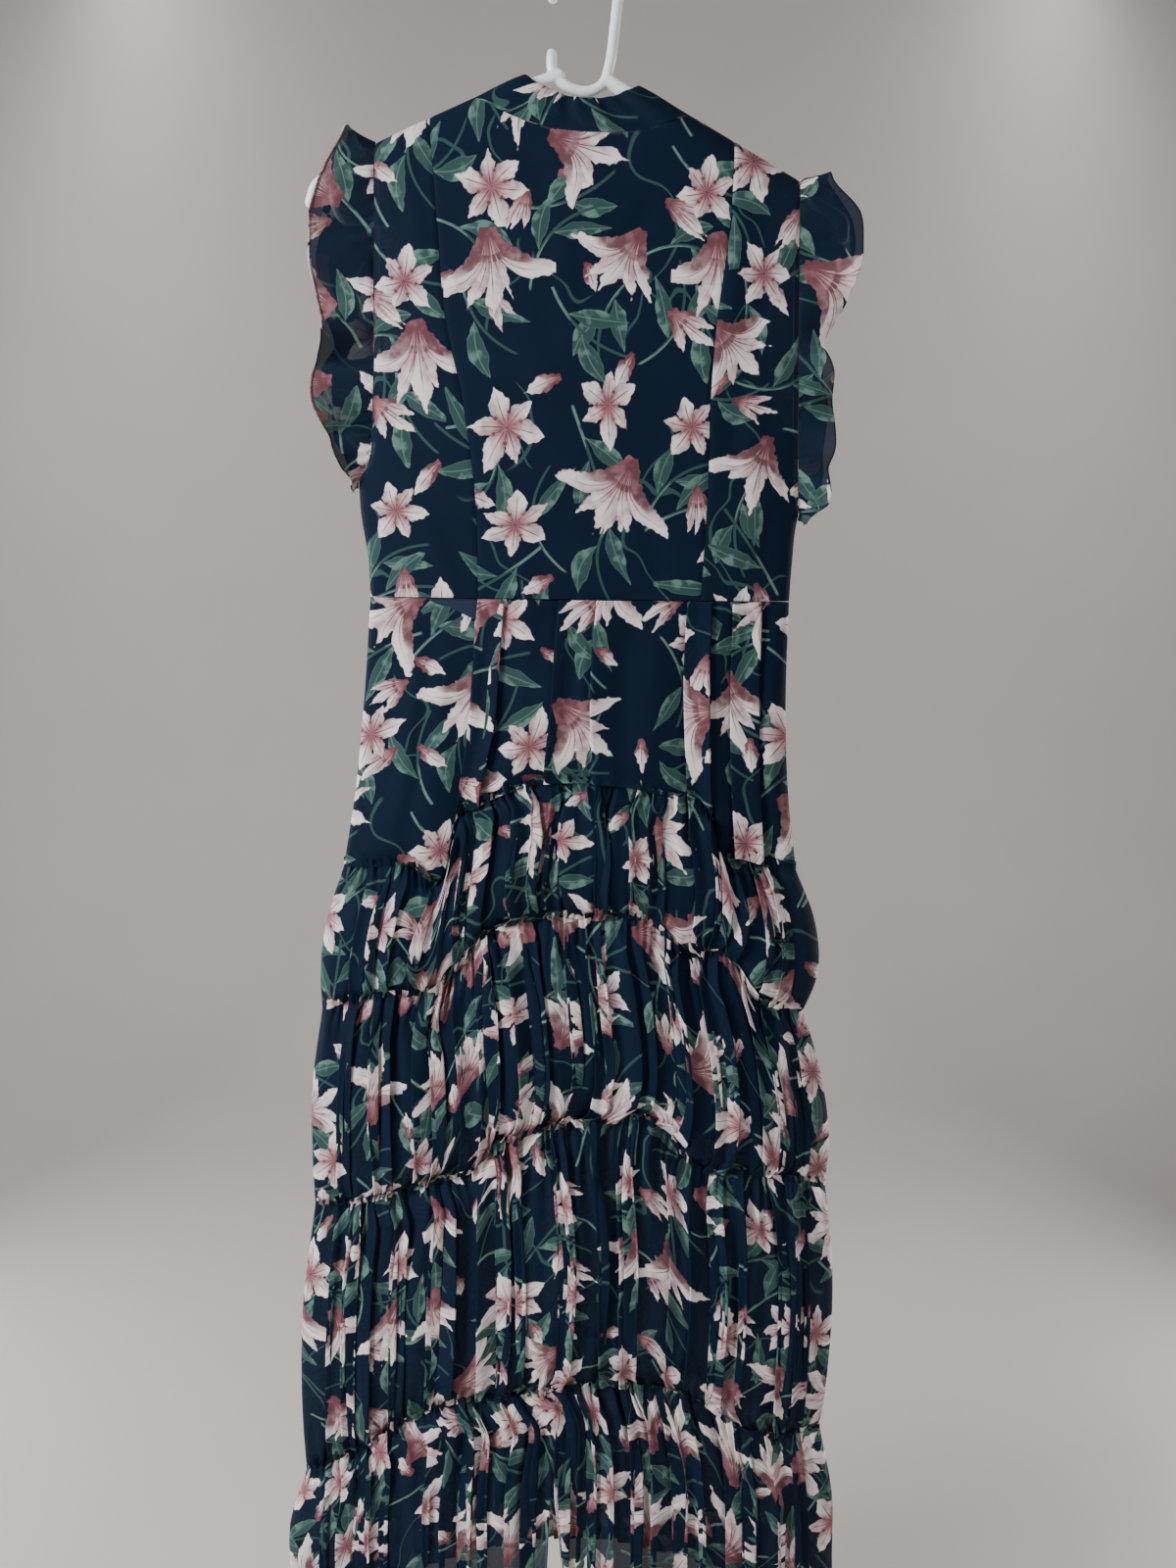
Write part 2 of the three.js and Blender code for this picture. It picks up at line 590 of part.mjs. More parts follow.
function makeSkirtPiece({ name, from, to, rows }, side) {
  const pleated = name === "yoke" && side < 0;
  const pleatPlaces = pleated
    ? PLEATS.flatMap(({ edge }) => [waistPlace(edge), waistPlace(edge + PLEAT_TURN)]) : [];
  const places = placesAcross(side < 0 ? EVEN_PLACES.back : EVEN_PLACES.front, pleatPlaces);
  if (side > 0) {
    places.reverse();
  }
  const grid = [];
  for (let r = 0; r <= SKIRT_STEPS; r++) {
    const down = r / SKIRT_STEPS;
    grid.push(places.map((s) => {
      const x = mix(look(rows, "down", down, "left"), look(rows, "down", down, "right"), (s + 1) / 2);
      const top = seamZ(from, s, side) - SKIRT_GAP;
      const low = seamZ(to, s, side);
      const round = Math.sqrt(1 - s * s);
      const fold = name === "yoke" && side > 0 ? 0 : foldHeight(name, side < 0 ? x : -x, down);
      const y = (look(rows, "down", down, "depth") + fold) * round;
      return new THREE.Vector3(x, side * Math.max(y, SEAM_GAP / 2), mix(top, low, down));
    }));
  }
  const seams = { top: "z", bottom: "z", first: "y", last: "y" };
  return wall(name + (side < 0 ? "_back" : "_front"), grid, CLOTH, chiffon(), seams);
}

function makeSlip() {
  const grid = [];
  for (let r = 0; r <= SLIP_GRID.steps; r++) {
    const z = mix(WAIST_Z - SEAM_GAP, SLIP_HEM_Z, r / SLIP_GRID.steps);
    const left = look(SLIP, "z", z, "left");
    const right = look(SLIP, "z", z, "right");
    const depth = look(SLIP, "z", z, "depth");
    const row = [];
    for (let i = 0; i < SLIP_GRID.around; i++) {
      const turn = (2 * Math.PI * i) / SLIP_GRID.around;
      const x = (left + right) / 2 - ((right - left) / 2) * Math.cos(turn);
      row.push(new THREE.Vector3(x, -depth * Math.sin(turn), z));
    }
    grid.push(row);
  }
  return wall("slip", grid, CLOTH, liningCloth(), { top: "z", tube: true });
}

// A ruffle goes up the back of the armhole, over the hanger's arm and down the front. Its seam edge is made
// from the armhole points of the two panels that it is sewn to.
function makeRuffle(sideName, rows) {
  const sign = sideName === "left" ? -1 : 1;
  const crest = RUFFLE_CREST[sideName];
  const edge = outerEdge(sideName);
  const last = TOP_DROPS.length + ROWS.armhole - 1;
  const seamOf = (side) => {
    const points = bodiceGrid(side, edge, edge, [0]).slice(1, last + 1).map((row) => row[0]);
    points[points.length - 1].lerp(points[points.length - 2], RUFFLE_SHORT).x += sign * SEAM_GAP * 2;
    points[0].x += sign * SEAM_GAP;
    return points.map((p) => p.add(new THREE.Vector3(sign * SEAM_GAP, 0, 0)));
  };
  const edgeOf = (point, side) => {
    const out = look(rows, "z", point.z, "out");
    return new THREE.Vector3(look(rows, "z", point.z, "edge"), side * out, point.z);
  };
  const topX = edge(ARMHOLE[0].z) + sign * SEAM_GAP;
  const top = [
    new THREE.Vector3(topX + sign * SEAM_GAP, 0, look(TOP_LINE, "x", topX, "z") + CLOTH + 2 * SEAM_GAP),
    new THREE.Vector3(crest.x, 0, crest.z),
  ];
  const stations = [
    ...seamOf(-1).toReversed().map((p) => [p, edgeOf(p, -1)]),
    top,
    ...seamOf(1).map((p) => [p, edgeOf(p, 1)]),
  ];
  if (sign > 0) stations.reverse();
  const grid = [];
  for (let step = 0; step <= RUFFLE_STEPS; step++) {
    grid.push(stations.map(([seam, out]) => seam.clone().lerp(out, step / RUFFLE_STEPS)));
  }
  return wall("ruffle_" + sideName, grid, CLOTH, chiffon(), { top: "x" });
}

// A round bar along points in the middle plane, with a ball at each end
function roundBar(route, radius) {
  const points = route.map(([x, z]) => new THREE.Vector3(x, 0, z));
  const curve = new THREE.CatmullRomCurve3(points, false, "centripetal");
  const section = new THREE.Shape(Array.from({ length: BAR_SIDES }, (_, i) => {
    const turn = (2 * Math.PI * i) / BAR_SIDES;
    return new THREE.Vector2(radius * Math.cos(turn), radius * Math.sin(turn));
  }));
  const steps = Math.max(LEAST_BAR_STEPS, Math.round(curve.getLength() / BAR_STEP));
  const bar = new THREE.ExtrudeGeometry(section, { steps, extrudePath: curve, curveSegments: 1 });
  const balls = [curve.getPoint(0), curve.getPoint(1)].map((p) =>
    new THREE.SphereGeometry(radius * BALL.share, BAR_SIDES, BALL.rings).translate(p.x, p.y, p.z));
  return [bar, ...balls];
}

const armRoute = ({ start, under, tip }) => [
  start, ...under.map((x) => [x, look(TOP_LINE, "x", x, "z") - ARM_BELOW]), ...tip,
];

async function makeHanger() {
  const wasm = await Module();
  wasm.setup();
  const solid = (geometry) => {
    const bare = geometry.index ? geometry.toNonIndexed() : geometry;
    bare.deleteAttribute("normal");
    bare.deleteAttribute("uv");
    const merged = mergeVertices(bare, WELD);
    return new wasm.Manifold(new wasm.Mesh({
      numProp: 3,
      vertProperties: merged.attributes.position.array,
      triVerts: new Uint32Array(merged.index.array),
    }));
  };
  const centreZ = -(HOOK.radius - BAR_R.hook);
  const arc = [];
  for (let deg = HOOK.startDeg; deg <= HOOK.endDeg; deg += HOOK.stepDeg) {
    const turn = THREE.MathUtils.degToRad(deg);
    arc.push([HOOK.radius * Math.cos(turn), centreZ + HOOK.radius * Math.sin(turn)]);
  }
  const bars = [
    ...roundBar([...NECK_ROUTE, ...arc], BAR_R.hook),
    ...roundBar(armRoute(ARM_LEFT), BAR_R.arm),
    ...roundBar(armRoute(ARM_RIGHT), BAR_R.arm),
    ...roundBar(RAIL, BAR_R.rail),
  ];
  const joined = bars.map(solid).reduce((a, b) => a.add(b));
  const { numProp, vertProperties, triVerts } = joined.getMesh();
  if (numProp !== 3) throw new Error("the hanger's mesh holds more than positions");
  const geometry = new THREE.BufferGeometry();
  geometry.setAttribute("position", new THREE.BufferAttribute(vertProperties, 3));
  geometry.setIndex(new THREE.BufferAttribute(triVerts, 1));
  const mesh = new THREE.Mesh(geometry, plastic());
  mesh.name = "hanger";
  return mesh;
}

const dress = new THREE.Group();
dress.add(await makeHanger());
dress.add(makeCollar(), ...makeBodice(), ...makeLining());
dress.add(makeRuffle("left", RUFFLE_LEFT), makeRuffle("right", RUFFLE_RIGHT));
for (const piece of SKIRT) {
  dress.add(makeSkirtPiece(piece, -1), makeSkirtPiece(piece, 1));
}
dress.add(makeSlip());

export default dress;
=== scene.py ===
"""The looks of a sleeveless maxi dress of printed chiffon that hangs on a moulded hanger.

Sizes are in millimetres, as a cutter writes them, and MM turns them into Blender's metres. +Z is up, -Y is
the side that is seen, taken as the dress's back, and +X is that side's right. The origin is the inside top
of the hanger's hook. Each piece of cloth is a grid of points on one shared form, with its own flat cut as
its UV map, so that the print runs over the cloth and is cut at seams and folds.
"""

import logging
import math
from collections.abc import Sequence
from dataclasses import dataclass, field
from enum import Enum

import bmesh
import bpy
import numpy as np
from mathutils import Matrix, Vector


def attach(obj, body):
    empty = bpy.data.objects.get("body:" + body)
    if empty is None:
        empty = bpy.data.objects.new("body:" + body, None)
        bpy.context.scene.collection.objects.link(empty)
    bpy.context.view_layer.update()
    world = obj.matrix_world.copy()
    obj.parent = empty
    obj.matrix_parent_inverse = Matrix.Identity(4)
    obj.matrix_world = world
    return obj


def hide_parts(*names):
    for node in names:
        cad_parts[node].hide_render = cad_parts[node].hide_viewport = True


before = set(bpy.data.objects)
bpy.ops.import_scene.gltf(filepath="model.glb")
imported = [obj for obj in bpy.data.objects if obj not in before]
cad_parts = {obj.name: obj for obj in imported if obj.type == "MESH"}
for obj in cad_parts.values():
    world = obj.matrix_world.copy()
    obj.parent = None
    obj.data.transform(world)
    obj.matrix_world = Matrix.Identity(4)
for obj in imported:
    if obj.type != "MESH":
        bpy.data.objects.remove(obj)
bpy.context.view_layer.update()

MM = 0.001
LOG = logging.getLogger("maxi_dress")

Array = np.ndarray
Pair = tuple[float, float]
Triple = tuple[float, float, float]

# Heights at which the tables of the outlines give their values
BODICE_Z = (-80, -150, -250, -360, -419, -442, -486, -517)
ARMHOLE_Z = (-140, -260, -340, -385, -405, -419, -442)
LINING_ARMHOLE_Z = (-140, -209, -240, -270, -315, -350, -372, -385)
PRINCESS_Z = (-125, -215, -291, -345, -425, -517)
SLIP_Z = (-517, -577, -760, -1010)

TINY = 1e-9  # keeps a division clear of nought
ROLL_TURN = 1.6 * math.pi  # how far round a narrow hem is rolled
LEAST_AREA = 0.31  # least share of a cut's rectangle that its area is stated as


class Side(Enum):
    """The two layers of the dress, by the sign of their Y."""

    BACK = -1
    FRONT = 1


class Slot(Enum):
    """The record's material slots."""

    CHIFFON = "printed_chiffon"
    LINING = "lining"
    PLASTIC = "hanger_plastic"


# Measures and form


@dataclass(frozen=True)
class Run:
    """One measure at a few stations, smooth between them and level past the ends.

    Attributes:
        at: the stations, rising or falling.
        value: the measure at each station.
    """

    at: Sequence[float]
    value: Sequence[float]

    def __call__(self, where: Array | float) -> Array:
        """The measure at any places, as a cubic through the stations."""
        order = np.argsort(self.at)
        stations = np.asarray(self.at, float)[order]
        values = np.asarray(self.value, float)[order]
        slopes = np.gradient(values, stations)
        found = np.clip(np.searchsorted(stations, where) - 1, 0, len(stations) - 2)
        span = stations[found + 1] - stations[found]
        t = np.clip((where - stations[found]) / span, 0, 1)
        return (
            (1 + 2 * t) * (1 - t) ** 2 * values[found]
            + t * (1 - t) ** 2 * span * slopes[found]
            + t * t * (3 - 2 * t) * values[found + 1]
            + t * t * (t - 1) * span * slopes[found + 1]
        )


def mix(a: Array | float, b: Array | float, t: Array | float) -> Array:
    """The value a share t of the way from a to b."""
    return a + (b - a) * t


def ease(value: Array | float, low: float, high: float) -> Array:
    """0 below low, 1 above high, and a smooth step between them."""
    t = np.clip((value - low) / (high - low), 0, 1)
    return t * t * (3 - 2 * t)


@dataclass(frozen=True)
class DressForm:
    """The flat, hollow form that the hung dress takes from the shoulders to the waist.

    Attributes:
        waist: height of the waist seam.
        seam_gap: gap between pieces at a seam.
        shoulder_round: drop in which the cloth rounds over the hanger's arm.
        top_line: height of the silhouette's top along x.
        left, right: silhouette by height.
        depth: distance of each layer from the middle plane by height.
        armhole_left, armhole_right: the bodice's outer edges by height.
        princess_left, princess_right: the back's two long seams by height.
        neck: the neck points as (x, z), left then right.
        neck_drop: how far the neckline dips under the neck points, back and front.
        neck_round: exponent of the neckline's dip, which is flatter in the middle than a parabola.
    """

    waist: float = -517
    seam_gap: float = 0.3
    shoulder_round: float = 22
    top_line: Run = Run(
        (-230, -171, -90, -49, 0, 47, 89, 180, 235), (-175, -146, -111, -93, -88, -101, -123, -171, -200)
    )
    left: Run = Run(BODICE_Z, (-200, -200, -200, -199, -192, -191, -185, -184))
    right: Run = Run(BODICE_Z, (208, 208, 208, 206, 199, 192, 188, 187))
    depth: Run = Run(BODICE_Z, (14, 20, 27, 31, 30, 28, 25, 22))
    armhole_left: Run = Run(ARMHOLE_Z, (-171, -173, -175, -178, -182, -192, -192))
    armhole_right: Run = Run(ARMHOLE_Z, (179, 182, 185, 187, 188, 189, 192))
    princess_left: Run = Run(PRINCESS_Z, (-126, -119, -112, -100, -89, -87))
    princess_right: Run = Run(PRINCESS_Z, (125, 122, 113, 110, 110, 107))
    neck: tuple[Pair, Pair] = ((-90, -111), (89, -123))
    neck_drop: dict[Side, float] = field(default_factory=lambda: {Side.BACK: 24, Side.FRONT: 70})
    neck_round: float = 2.4

    def layer(self, x: Array, z: Array, inset: Array | float = 0.0) -> Array:
        """Distance of a layer from the middle plane, which rounds to nothing at the top line and the sides.

        Args:
            x, z: places on the layer.
            inset: how far the layer lies inside the outer cloth.

        Returns:
            The distance, never less than half a seam's gap.
        """
        left, right = self.left(z) + inset, self.right(z) - inset
        across = np.clip((x - (left + right) / 2) / ((right - left) / 2), -1, 1)
        below = np.clip((self.top_line(x) - inset - z) / self.shoulder_round, 0, 1)
        deep = (self.depth(z) - inset) * np.sqrt(1 - across**2) * np.sqrt(1 - (1 - below) ** 2)
        return np.maximum(deep, self.seam_gap / 2)

    def neckline(self, x: Array, side: Side) -> Array:
        """Height of the neckline under the collar at x."""
        (left_x, left_z), (right_x, right_z) = self.neck
        t = np.clip((x - left_x) / (right_x - left_x), 0, 1)
        dip = self.neck_drop[side] * (1 - np.abs(2 * t - 1) ** self.neck_round)
        return mix(left_z, right_z, t) - dip

    def upper_edge(self, x: Array, side: Side) -> Array:
        """Upper edge of the bodice: the shoulder, or the neckline between the neck points."""
        inside = (x > self.neck[0][0]) & (x < self.neck[1][0])
        return np.where(inside, self.neckline(x, side) - self.seam_gap, self.top_line(x))

    def outer(self, z: Array, right: bool) -> Array:
        """The bodice's outer edge: the armhole down to the underarm, then the side seam."""
        if right:
            return np.minimum(self.right(z), self.armhole_right(z))
        return np.maximum(self.left(z), self.armhole_left(z))


FORM = DressForm()


# Cloth pieces


def rolled(grid: Array, radius: float, steps: int = 5) -> Array:
    """Rolls a grid's last row into a narrow hem.

    Args:
        grid: points, rows by columns.
        radius: radius of the rolled hem.
        steps: rows that go round the roll.

    Returns:
        The grid with the rows of the roll added.
    """
    out = grid[-1] - grid[-2]
    out /= np.maximum(np.linalg.norm(out, axis=1, keepdims=True), TINY)
    along = np.gradient(grid[-1], axis=0)
    normal = np.cross(along, out)
    normal /= np.maximum(np.linalg.norm(normal, axis=1, keepdims=True), TINY)
    turns = np.linspace(0, ROLL_TURN, steps + 1)[1:]
    roll = [grid[-1] + radius * (np.sin(a) * out + (1 - np.cos(a)) * normal) for a in turns]
    return np.concatenate([grid, np.array(roll)])


def extend_cut(cut: Array, rows: int, step: float) -> Array:
    """Adds rows to a flat cut, each a step below the last, for the cloth of a rolled hem.

    Args:
        cut: the flat cut, rows by columns by two.
        rows: how many rows are added.
        step: how far each lies below the last.

    Returns:
        The longer cut.
    """
    more = [cut[-1] + np.array((0.0, -step * (i + 1))) for i in range(rows)]
    return np.concatenate([cut, np.array(more)])


@dataclass
class Cloth:
    """One piece of cloth as a grid of points, rows down and columns across.

    Attributes:
        name: the piece's name.
        grid: points in millimetres, rows by columns by three.
        cut: each point's place in the flat cut, in millimetres.
        flip: whether the faces are turned to look the other way.
        shift: where on the roll of printed cloth the piece is cut, in millimetres.
    """

    name: str
    grid: Array
    cut: Array
    flip: bool = False
    shift: Pair = (0.0, 0.0)

    def flat_area(self) -> float:
        """Area of the cut in square metres."""
        a = self.cut[1:, :-1] - self.cut[:-1, :-1]
        b = self.cut[:-1, 1:] - self.cut[:-1, :-1]
        return float(np.abs(a[..., 0] * b[..., 1] - a[..., 1] * b[..., 0]).sum()) * MM * MM

    def flat_size(self) -> Pair:
        """Width and length of the cut in metres."""
        spans = np.ptp(self.cut.reshape(-1, 2), axis=0) * MM
        return float(spans[0]), float(spans[1])

    def build(self) -> bpy.types.Object:
        """Makes the mesh, with the flat cut as its UV map.

        Returns:
            The new object, linked to the scene.
        """
        rows, columns = self.grid.shape[:2]
        sheet = bmesh.new()
        bmesh.ops.create_grid(sheet, x_segments=columns - 1, y_segments=rows - 1, size=0.5)
        if self.flip:
            bmesh.ops.reverse_faces(sheet, faces=sheet.faces)
        mesh = bpy.data.meshes.new(self.name)
        sheet.to_mesh(mesh)
        sheet.free()
        flat = np.empty(len(mesh.vertices) * 3, np.float32)
        mesh.vertices.foreach_get("co", flat)
        flat = flat.reshape(-1, 3)
        column = np.rint((flat[:, 0] + 0.5) * (columns - 1)).astype(int)
        row = np.rint((0.5 - flat[:, 1]) * (rows - 1)).astype(int)
        mesh.vertices.foreach_set("co", (self.grid[row, column] * MM).astype(np.float32).ravel())
        corner = np.empty(len(mesh.loops), np.int32)
        mesh.loops.foreach_get("vertex_index", corner)
        placed = (self.cut + np.array(self.shift))[row, column][corner] * MM
        layer = mesh.uv_layers.new(name="Cut")
        layer.uv.foreach_set("vector", placed.astype(np.float32).ravel())
        mesh.shade_smooth()
        mesh.update()
        piece = bpy.data.objects.new(self.name, mesh)
        bpy.context.scene.collection.objects.link(piece)
        return piece


def join_dress(
    cloth: Cloth, material: bpy.types.Material
) -> bpy.types.Object:
    """Builds a piece of cloth, dresses it and puts it in the place of its CAD node.

    Args:
        cloth: the piece, whose name is its node's name with "_cloth" after it.
        material: its finish.

    Returns:
        The piece.
    """
    piece = cloth.build()
    piece.data.materials.append(material)
    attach(piece, "root")
    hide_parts(cloth.name.removesuffix("_cloth"))
    width, length = cloth.flat_size()
    area = min(max(cloth.flat_area(), LEAST_AREA * width * length), width * length)
    LOG.info("%s: %d faces, cut %.3f x %.3f m", piece.name, len(piece.data.polygons), width, length)
    return piece


@dataclass(frozen=True)
class Crease:
    """A soft crease on a smooth piece, between two points.

    Attributes:
        start, end: its ends as (x, z).
        half: half width.
        high: height out of the cloth, or below it where negative.
        blunt: share of the length at which an end already has its height.
    """

    start: Pair
    end: Pair
    half: float
    high: float
    blunt: float = 0.02

    def height(self, x: Array, z: Array) -> Array:
        """Height of the crease at places on the cloth.

        Args:
            x, z: the places.

        Returns:
            The height at each.
        """
        a, b = np.array(self.start), np.array(self.end)
        d = b - a
        t = np.clip(((x - a[0]) * d[0] + (z - a[1]) * d[1]) / (d @ d), 0, 1)
        away = np.hypot(x - a[0] - t * d[0], z - a[1] - t * d[1]) / self.half
        swell = np.sin(math.pi * np.clip(t, self.blunt, 1 - self.blunt))
        return self.high * np.sqrt(swell) * np.exp(-(away**2))


def creased(creases: Sequence[Crease], x: Array, z: Array) -> Array:
    """Sum of several creases' heights."""
    return sum((crease.height(x, z) for crease in creases), np.zeros_like(x))


@dataclass(frozen=True)
class Panel:
    """A panel of the bodice or its lining.

    Attributes:
        name: the CAD node that it stands for.
        side: back or front.
        edges: functions of height that give the x of its left and right edge.
        columns: spans across.
        shift: its place on the roll of printed cloth.
        rows: spans down.
        inset: how far it lies inside the outer cloth.
    """

    name: str
    side: Side
    edges: tuple
    columns: int
    shift: Pair
    rows: int = 120
    inset: float = 0.0

    def cloth(self, creases: Sequence[Crease]) -> Cloth:
        """The panel's grid, from the shoulder or neckline to the waist.

        Args:
            creases: soft creases to add.

        Returns:
            The cloth, cut flat.
        """
        share = np.linspace(0, 1, self.columns + 1)[None, :]
        down = (np.linspace(0, 1, self.rows + 1) ** 1.35)[:, None]
        z = np.full((self.rows + 1, self.columns + 1), -250.0)
        x = z
        for _ in range(6):
            x = mix(self.edges[0](z), self.edges[1](z), share)
            top = FORM.upper_edge(x, self.side) - self.inset * 0.2
            z = mix(top, FORM.waist + FORM.seam_gap, down)
        inset = self.inset * mix(0.55, 1.0, ease(top - z, 0, 30))
        high = creased(creases, x, z) * ease(top - z, 0, 12) * ease(z - FORM.waist, 0, 12)
        edge = np.minimum(share, 1 - share) * (self.edges[1](z) - self.edges[0](z))
        tuck = 0.9 * (1 - ease(edge, 0, 3.0)) if self.inset == 0 else 0.0
        y = np.maximum(FORM.layer(x, z, inset) + high - tuck, FORM.seam_gap / 2)
        grid = np.stack([x, self.side.value * y, z], axis=-1)
        return Cloth(self.name + "_cloth", grid, self.flat(grid, x, z), self.side is Side.FRONT, self.shift)

    def flat(self, grid: Array, x: Array, z: Array) -> Array:
        """The flat cut: measured along the cloth from its middle column, and down from its top."""
        steps = np.linalg.norm(np.diff(grid, axis=1), axis=2)
        across = np.concatenate([np.zeros((len(grid), 1)), np.cumsum(steps, axis=1)], axis=1)
        middle = self.columns // 2
        across = across - across[:, middle : middle + 1] + x[:, middle : middle + 1]
        return np.stack([across * -self.side.value, z], axis=-1)


@dataclass
class Bodice:
    """The bodice: a back of three panels with two long seams, and a front of two halves with a neck slit.

    Attributes:
        slit_end: height where the open part of the centre front seam ends.
        slit_width: width of the open part.
        back_creases, front_creases: soft creases of each layer.
    """

    slit_end: float = -335
    slit_width: float = 4
    back_creases: tuple[Crease, ...] = (
        Crease((-150, -160), (-128, -250), 9, 1.5),
        Crease((-160, -330), (-120, -430), 11, -1.6),
        Crease((-60, -150), (-40, -230), 12, 1.2),
        Crease((-20, -180), (-8, -330), 12, 0.9),
        Crease((60, -180), (36, -250), 10, -1.2),
        Crease((135, -190), (120, -300), 9, 1.6),
        Crease((152, -260), (128, -400), 10, -1.8),
        Crease((140, -300), (150, -480), 12, 1.6),
        Crease((-140, -440), (-110, -505), 9, 1.4),
        Crease((-40, -430), (-52, -510), 10, 1.1),
        Crease((60, -440), (72, -512), 10, -1.2),
        Crease((168, -420), (130, -500), 9, 1.4),
    )
    front_creases: tuple[Crease, ...] = (
        Crease((-140, -170), (-100, -280), 11, 1.6),
        Crease((-60, -230), (-40, -360), 12, 1.2),
        Crease((-150, -380), (-110, -490), 11, -1.6),
        Crease((60, -240), (44, -350), 12, -1.3),
        Crease((140, -190), (104, -300), 10, 1.6),
        Crease((150, -380), (120, -500), 11, 1.5),
        Crease((-30, -400), (-40, -505), 9, 1.1),
        Crease((36, -410), (52, -508), 9, 1.2),
    )

    def panels(self) -> list[Panel]:
        """The five panels with their edges."""
        half = FORM.seam_gap / 2

        def slit(z: Array) -> Array:
            """Half the centre front's opening."""
            return np.where(z > self.slit_end, self.slit_width / 2, half)

        def left(z: Array) -> Array:
            """The bodice's left edge."""
            return FORM.outer(z, right=False)

        def right(z: Array) -> Array:
            """The bodice's right edge."""
            return FORM.outer(z, right=True)

        seam_left, seam_right = FORM.princess_left, FORM.princess_right
        side_left = (left, lambda z: seam_left(z) - half)
        centre = (lambda z: seam_left(z) + half, lambda z: seam_right(z) - half)
        side_right = (lambda z: seam_right(z) + half, right)
        return [
            Panel("bodice_back_side_left", Side.BACK, side_left, 40, (253, 71)),
            Panel("bodice_back_centre", Side.BACK, centre, 110, (0, 0)),
            Panel("bodice_back_side_right", Side.BACK, side_right, 40, (-311, 164)),
            Panel("bodice_front_left", Side.FRONT, (left, lambda z: -slit(z)), 80, (700, 33)),
            Panel("bodice_front_right", Side.FRONT, (slit, right), 80, (640, 71)),
        ]

    def build(self, chiffon: bpy.types.Material) -> None:
        """Builds and dresses the five panels."""
        for panel in self.panels():
            creases = self.back_creases if panel.side is Side.BACK else self.front_creases
            join_dress(panel.cloth(creases), chiffon)


@dataclass
class Lining:
    """The opaque lining inside the bodice, cut in further at the armholes.

    Attributes:
        inset: how far it lies inside the bodice.
        armhole_left, armhole_right: its own armholes by height.
        creases: soft creases of both layers.
    """

    inset: float = 3.5
    armhole_left: Run = Run(LINING_ARMHOLE_Z, (-159, -156, -138, -127, -127, -135, -168, -198))
    armhole_right: Run = Run(LINING_ARMHOLE_Z, (157, 154, 154, 156, 158, 163, 181, 206))
    creases: tuple[Crease, ...] = (
        Crease((-100, -200), (-80, -420), 14, -1.3),
        Crease((70, -220), (90, -460), 14, -1.3),
        Crease((0, -240), (-10, -480), 16, -1.0),
    )

    def build(self, cloth: bpy.types.Material) -> None:
        """Builds and dresses the back and front lining."""

        def left(z: Array) -> Array:
            return np.maximum(FORM.outer(z, right=False) + self.inset, self.armhole_left(z))

        def right(z: Array) -> Array:
            return np.minimum(FORM.outer(z, right=True) - self.inset, self.armhole_right(z))

        for side, name in ((Side.BACK, "lining_back"), (Side.FRONT, "lining_front")):
            panel = Panel(name, side, (left, right), 120, (0, 0), rows=90, inset=self.inset)
            join_dress(panel.cloth(self.creases), cloth)


@dataclass
class Collar:
    """A stand band round the neck, folded along its top, its ends at the centre front.

    Attributes:
        top: the band's upper corners as (x, z), left then right.
        drop: how far its upper edge dips in the middle, back and front.
        slit: width of the opening at the centre front.
        thick: distance between its two layers.
        facing: height of the inner layer that comes down inside.
        columns, rows: spans round and up.
        shift: its place on the roll of printed cloth.
    """

    top: tuple[Pair, Pair] = ((-49, -93), (47, -101))
    drop: dict[Side, float] = field(default_factory=lambda: {Side.BACK: 18, Side.FRONT: 58})
    slit: float = 4
    thick: float = 1.4
    facing: float = 1.0
    columns: int = 260
    rows: int = 10
    shift: Pair = (330, -222)

    def build(self, chiffon: bpy.types.Material) -> None:
        """Builds and dresses the band."""
        around = np.linspace(0, 1, self.columns + 1)[None, :]
        back = (around >= 0.25) & (around <= 0.75)
        place = np.where(back, 4 * around - 2, np.where(around < 0.25, -4 * around, 4 - 4 * around))
        (neck_left, _), (neck_right, _) = FORM.neck
        t = (place + 1) / 2
        end = np.where(around < 0.25, -self.slit / 2, self.slit / 2)
        seam_x = mix(neck_left, neck_right, t)
        seam_x = np.where(back, seam_x, np.where(np.abs(place) < 0.02, end, seam_x))
        (left_x, left_z), (right_x, right_z) = self.top
        drop = np.where(back, self.drop[Side.BACK], self.drop[Side.FRONT])
        top_z = mix(left_z, right_z, t) - drop * (1 - np.abs(place) ** FORM.neck_round)
        top_x = np.where(~back & (np.abs(place) < 0.02), end, mix(left_x, right_x, t))
        seam_z = np.where(back, FORM.neckline(seam_x, Side.BACK), FORM.neckline(seam_x, Side.FRONT))
        outside = np.linspace(0, 1, self.rows + 1)
        inside = np.linspace(1, 1 - self.facing, self.rows + 1)
        up = np.concatenate([outside, inside])[:, None]
        layer = np.concatenate([np.zeros(self.rows + 1), np.full(self.rows + 1, self.thick)])[:, None]
        x = mix(seam_x, top_x, up)
        z = mix(seam_z, top_z, up)
        soft = 0.8 * np.sin(place * 23 + up * 4) * ease(up, 0.1, 0.6) + 0.9 * np.sin(place * 9.5)
        y = np.maximum(FORM.layer(x, z) + soft * ease(FORM.layer(x, z), 1, 6) - layer, 0.25)
        grid = np.stack([x, np.where(back, -y, y), z], axis=-1)
        steps = np.linalg.norm(np.diff(grid[0], axis=0), axis=1)
        along = np.concatenate([[0], np.cumsum(steps)])[None, :] * np.ones_like(up)
        high = np.linalg.norm(grid[self.rows] - grid[0], axis=1)[None, :]
        tall = np.concatenate([outside, 1 + outside * self.facing])[:, None] * high
        cut = np.stack([along, tall], axis=-1)
        grid, cut = grid[::-1], cut[::-1]
        join_dress(Cloth("collar_cloth", grid, cut, False, self.shift), chiffon)


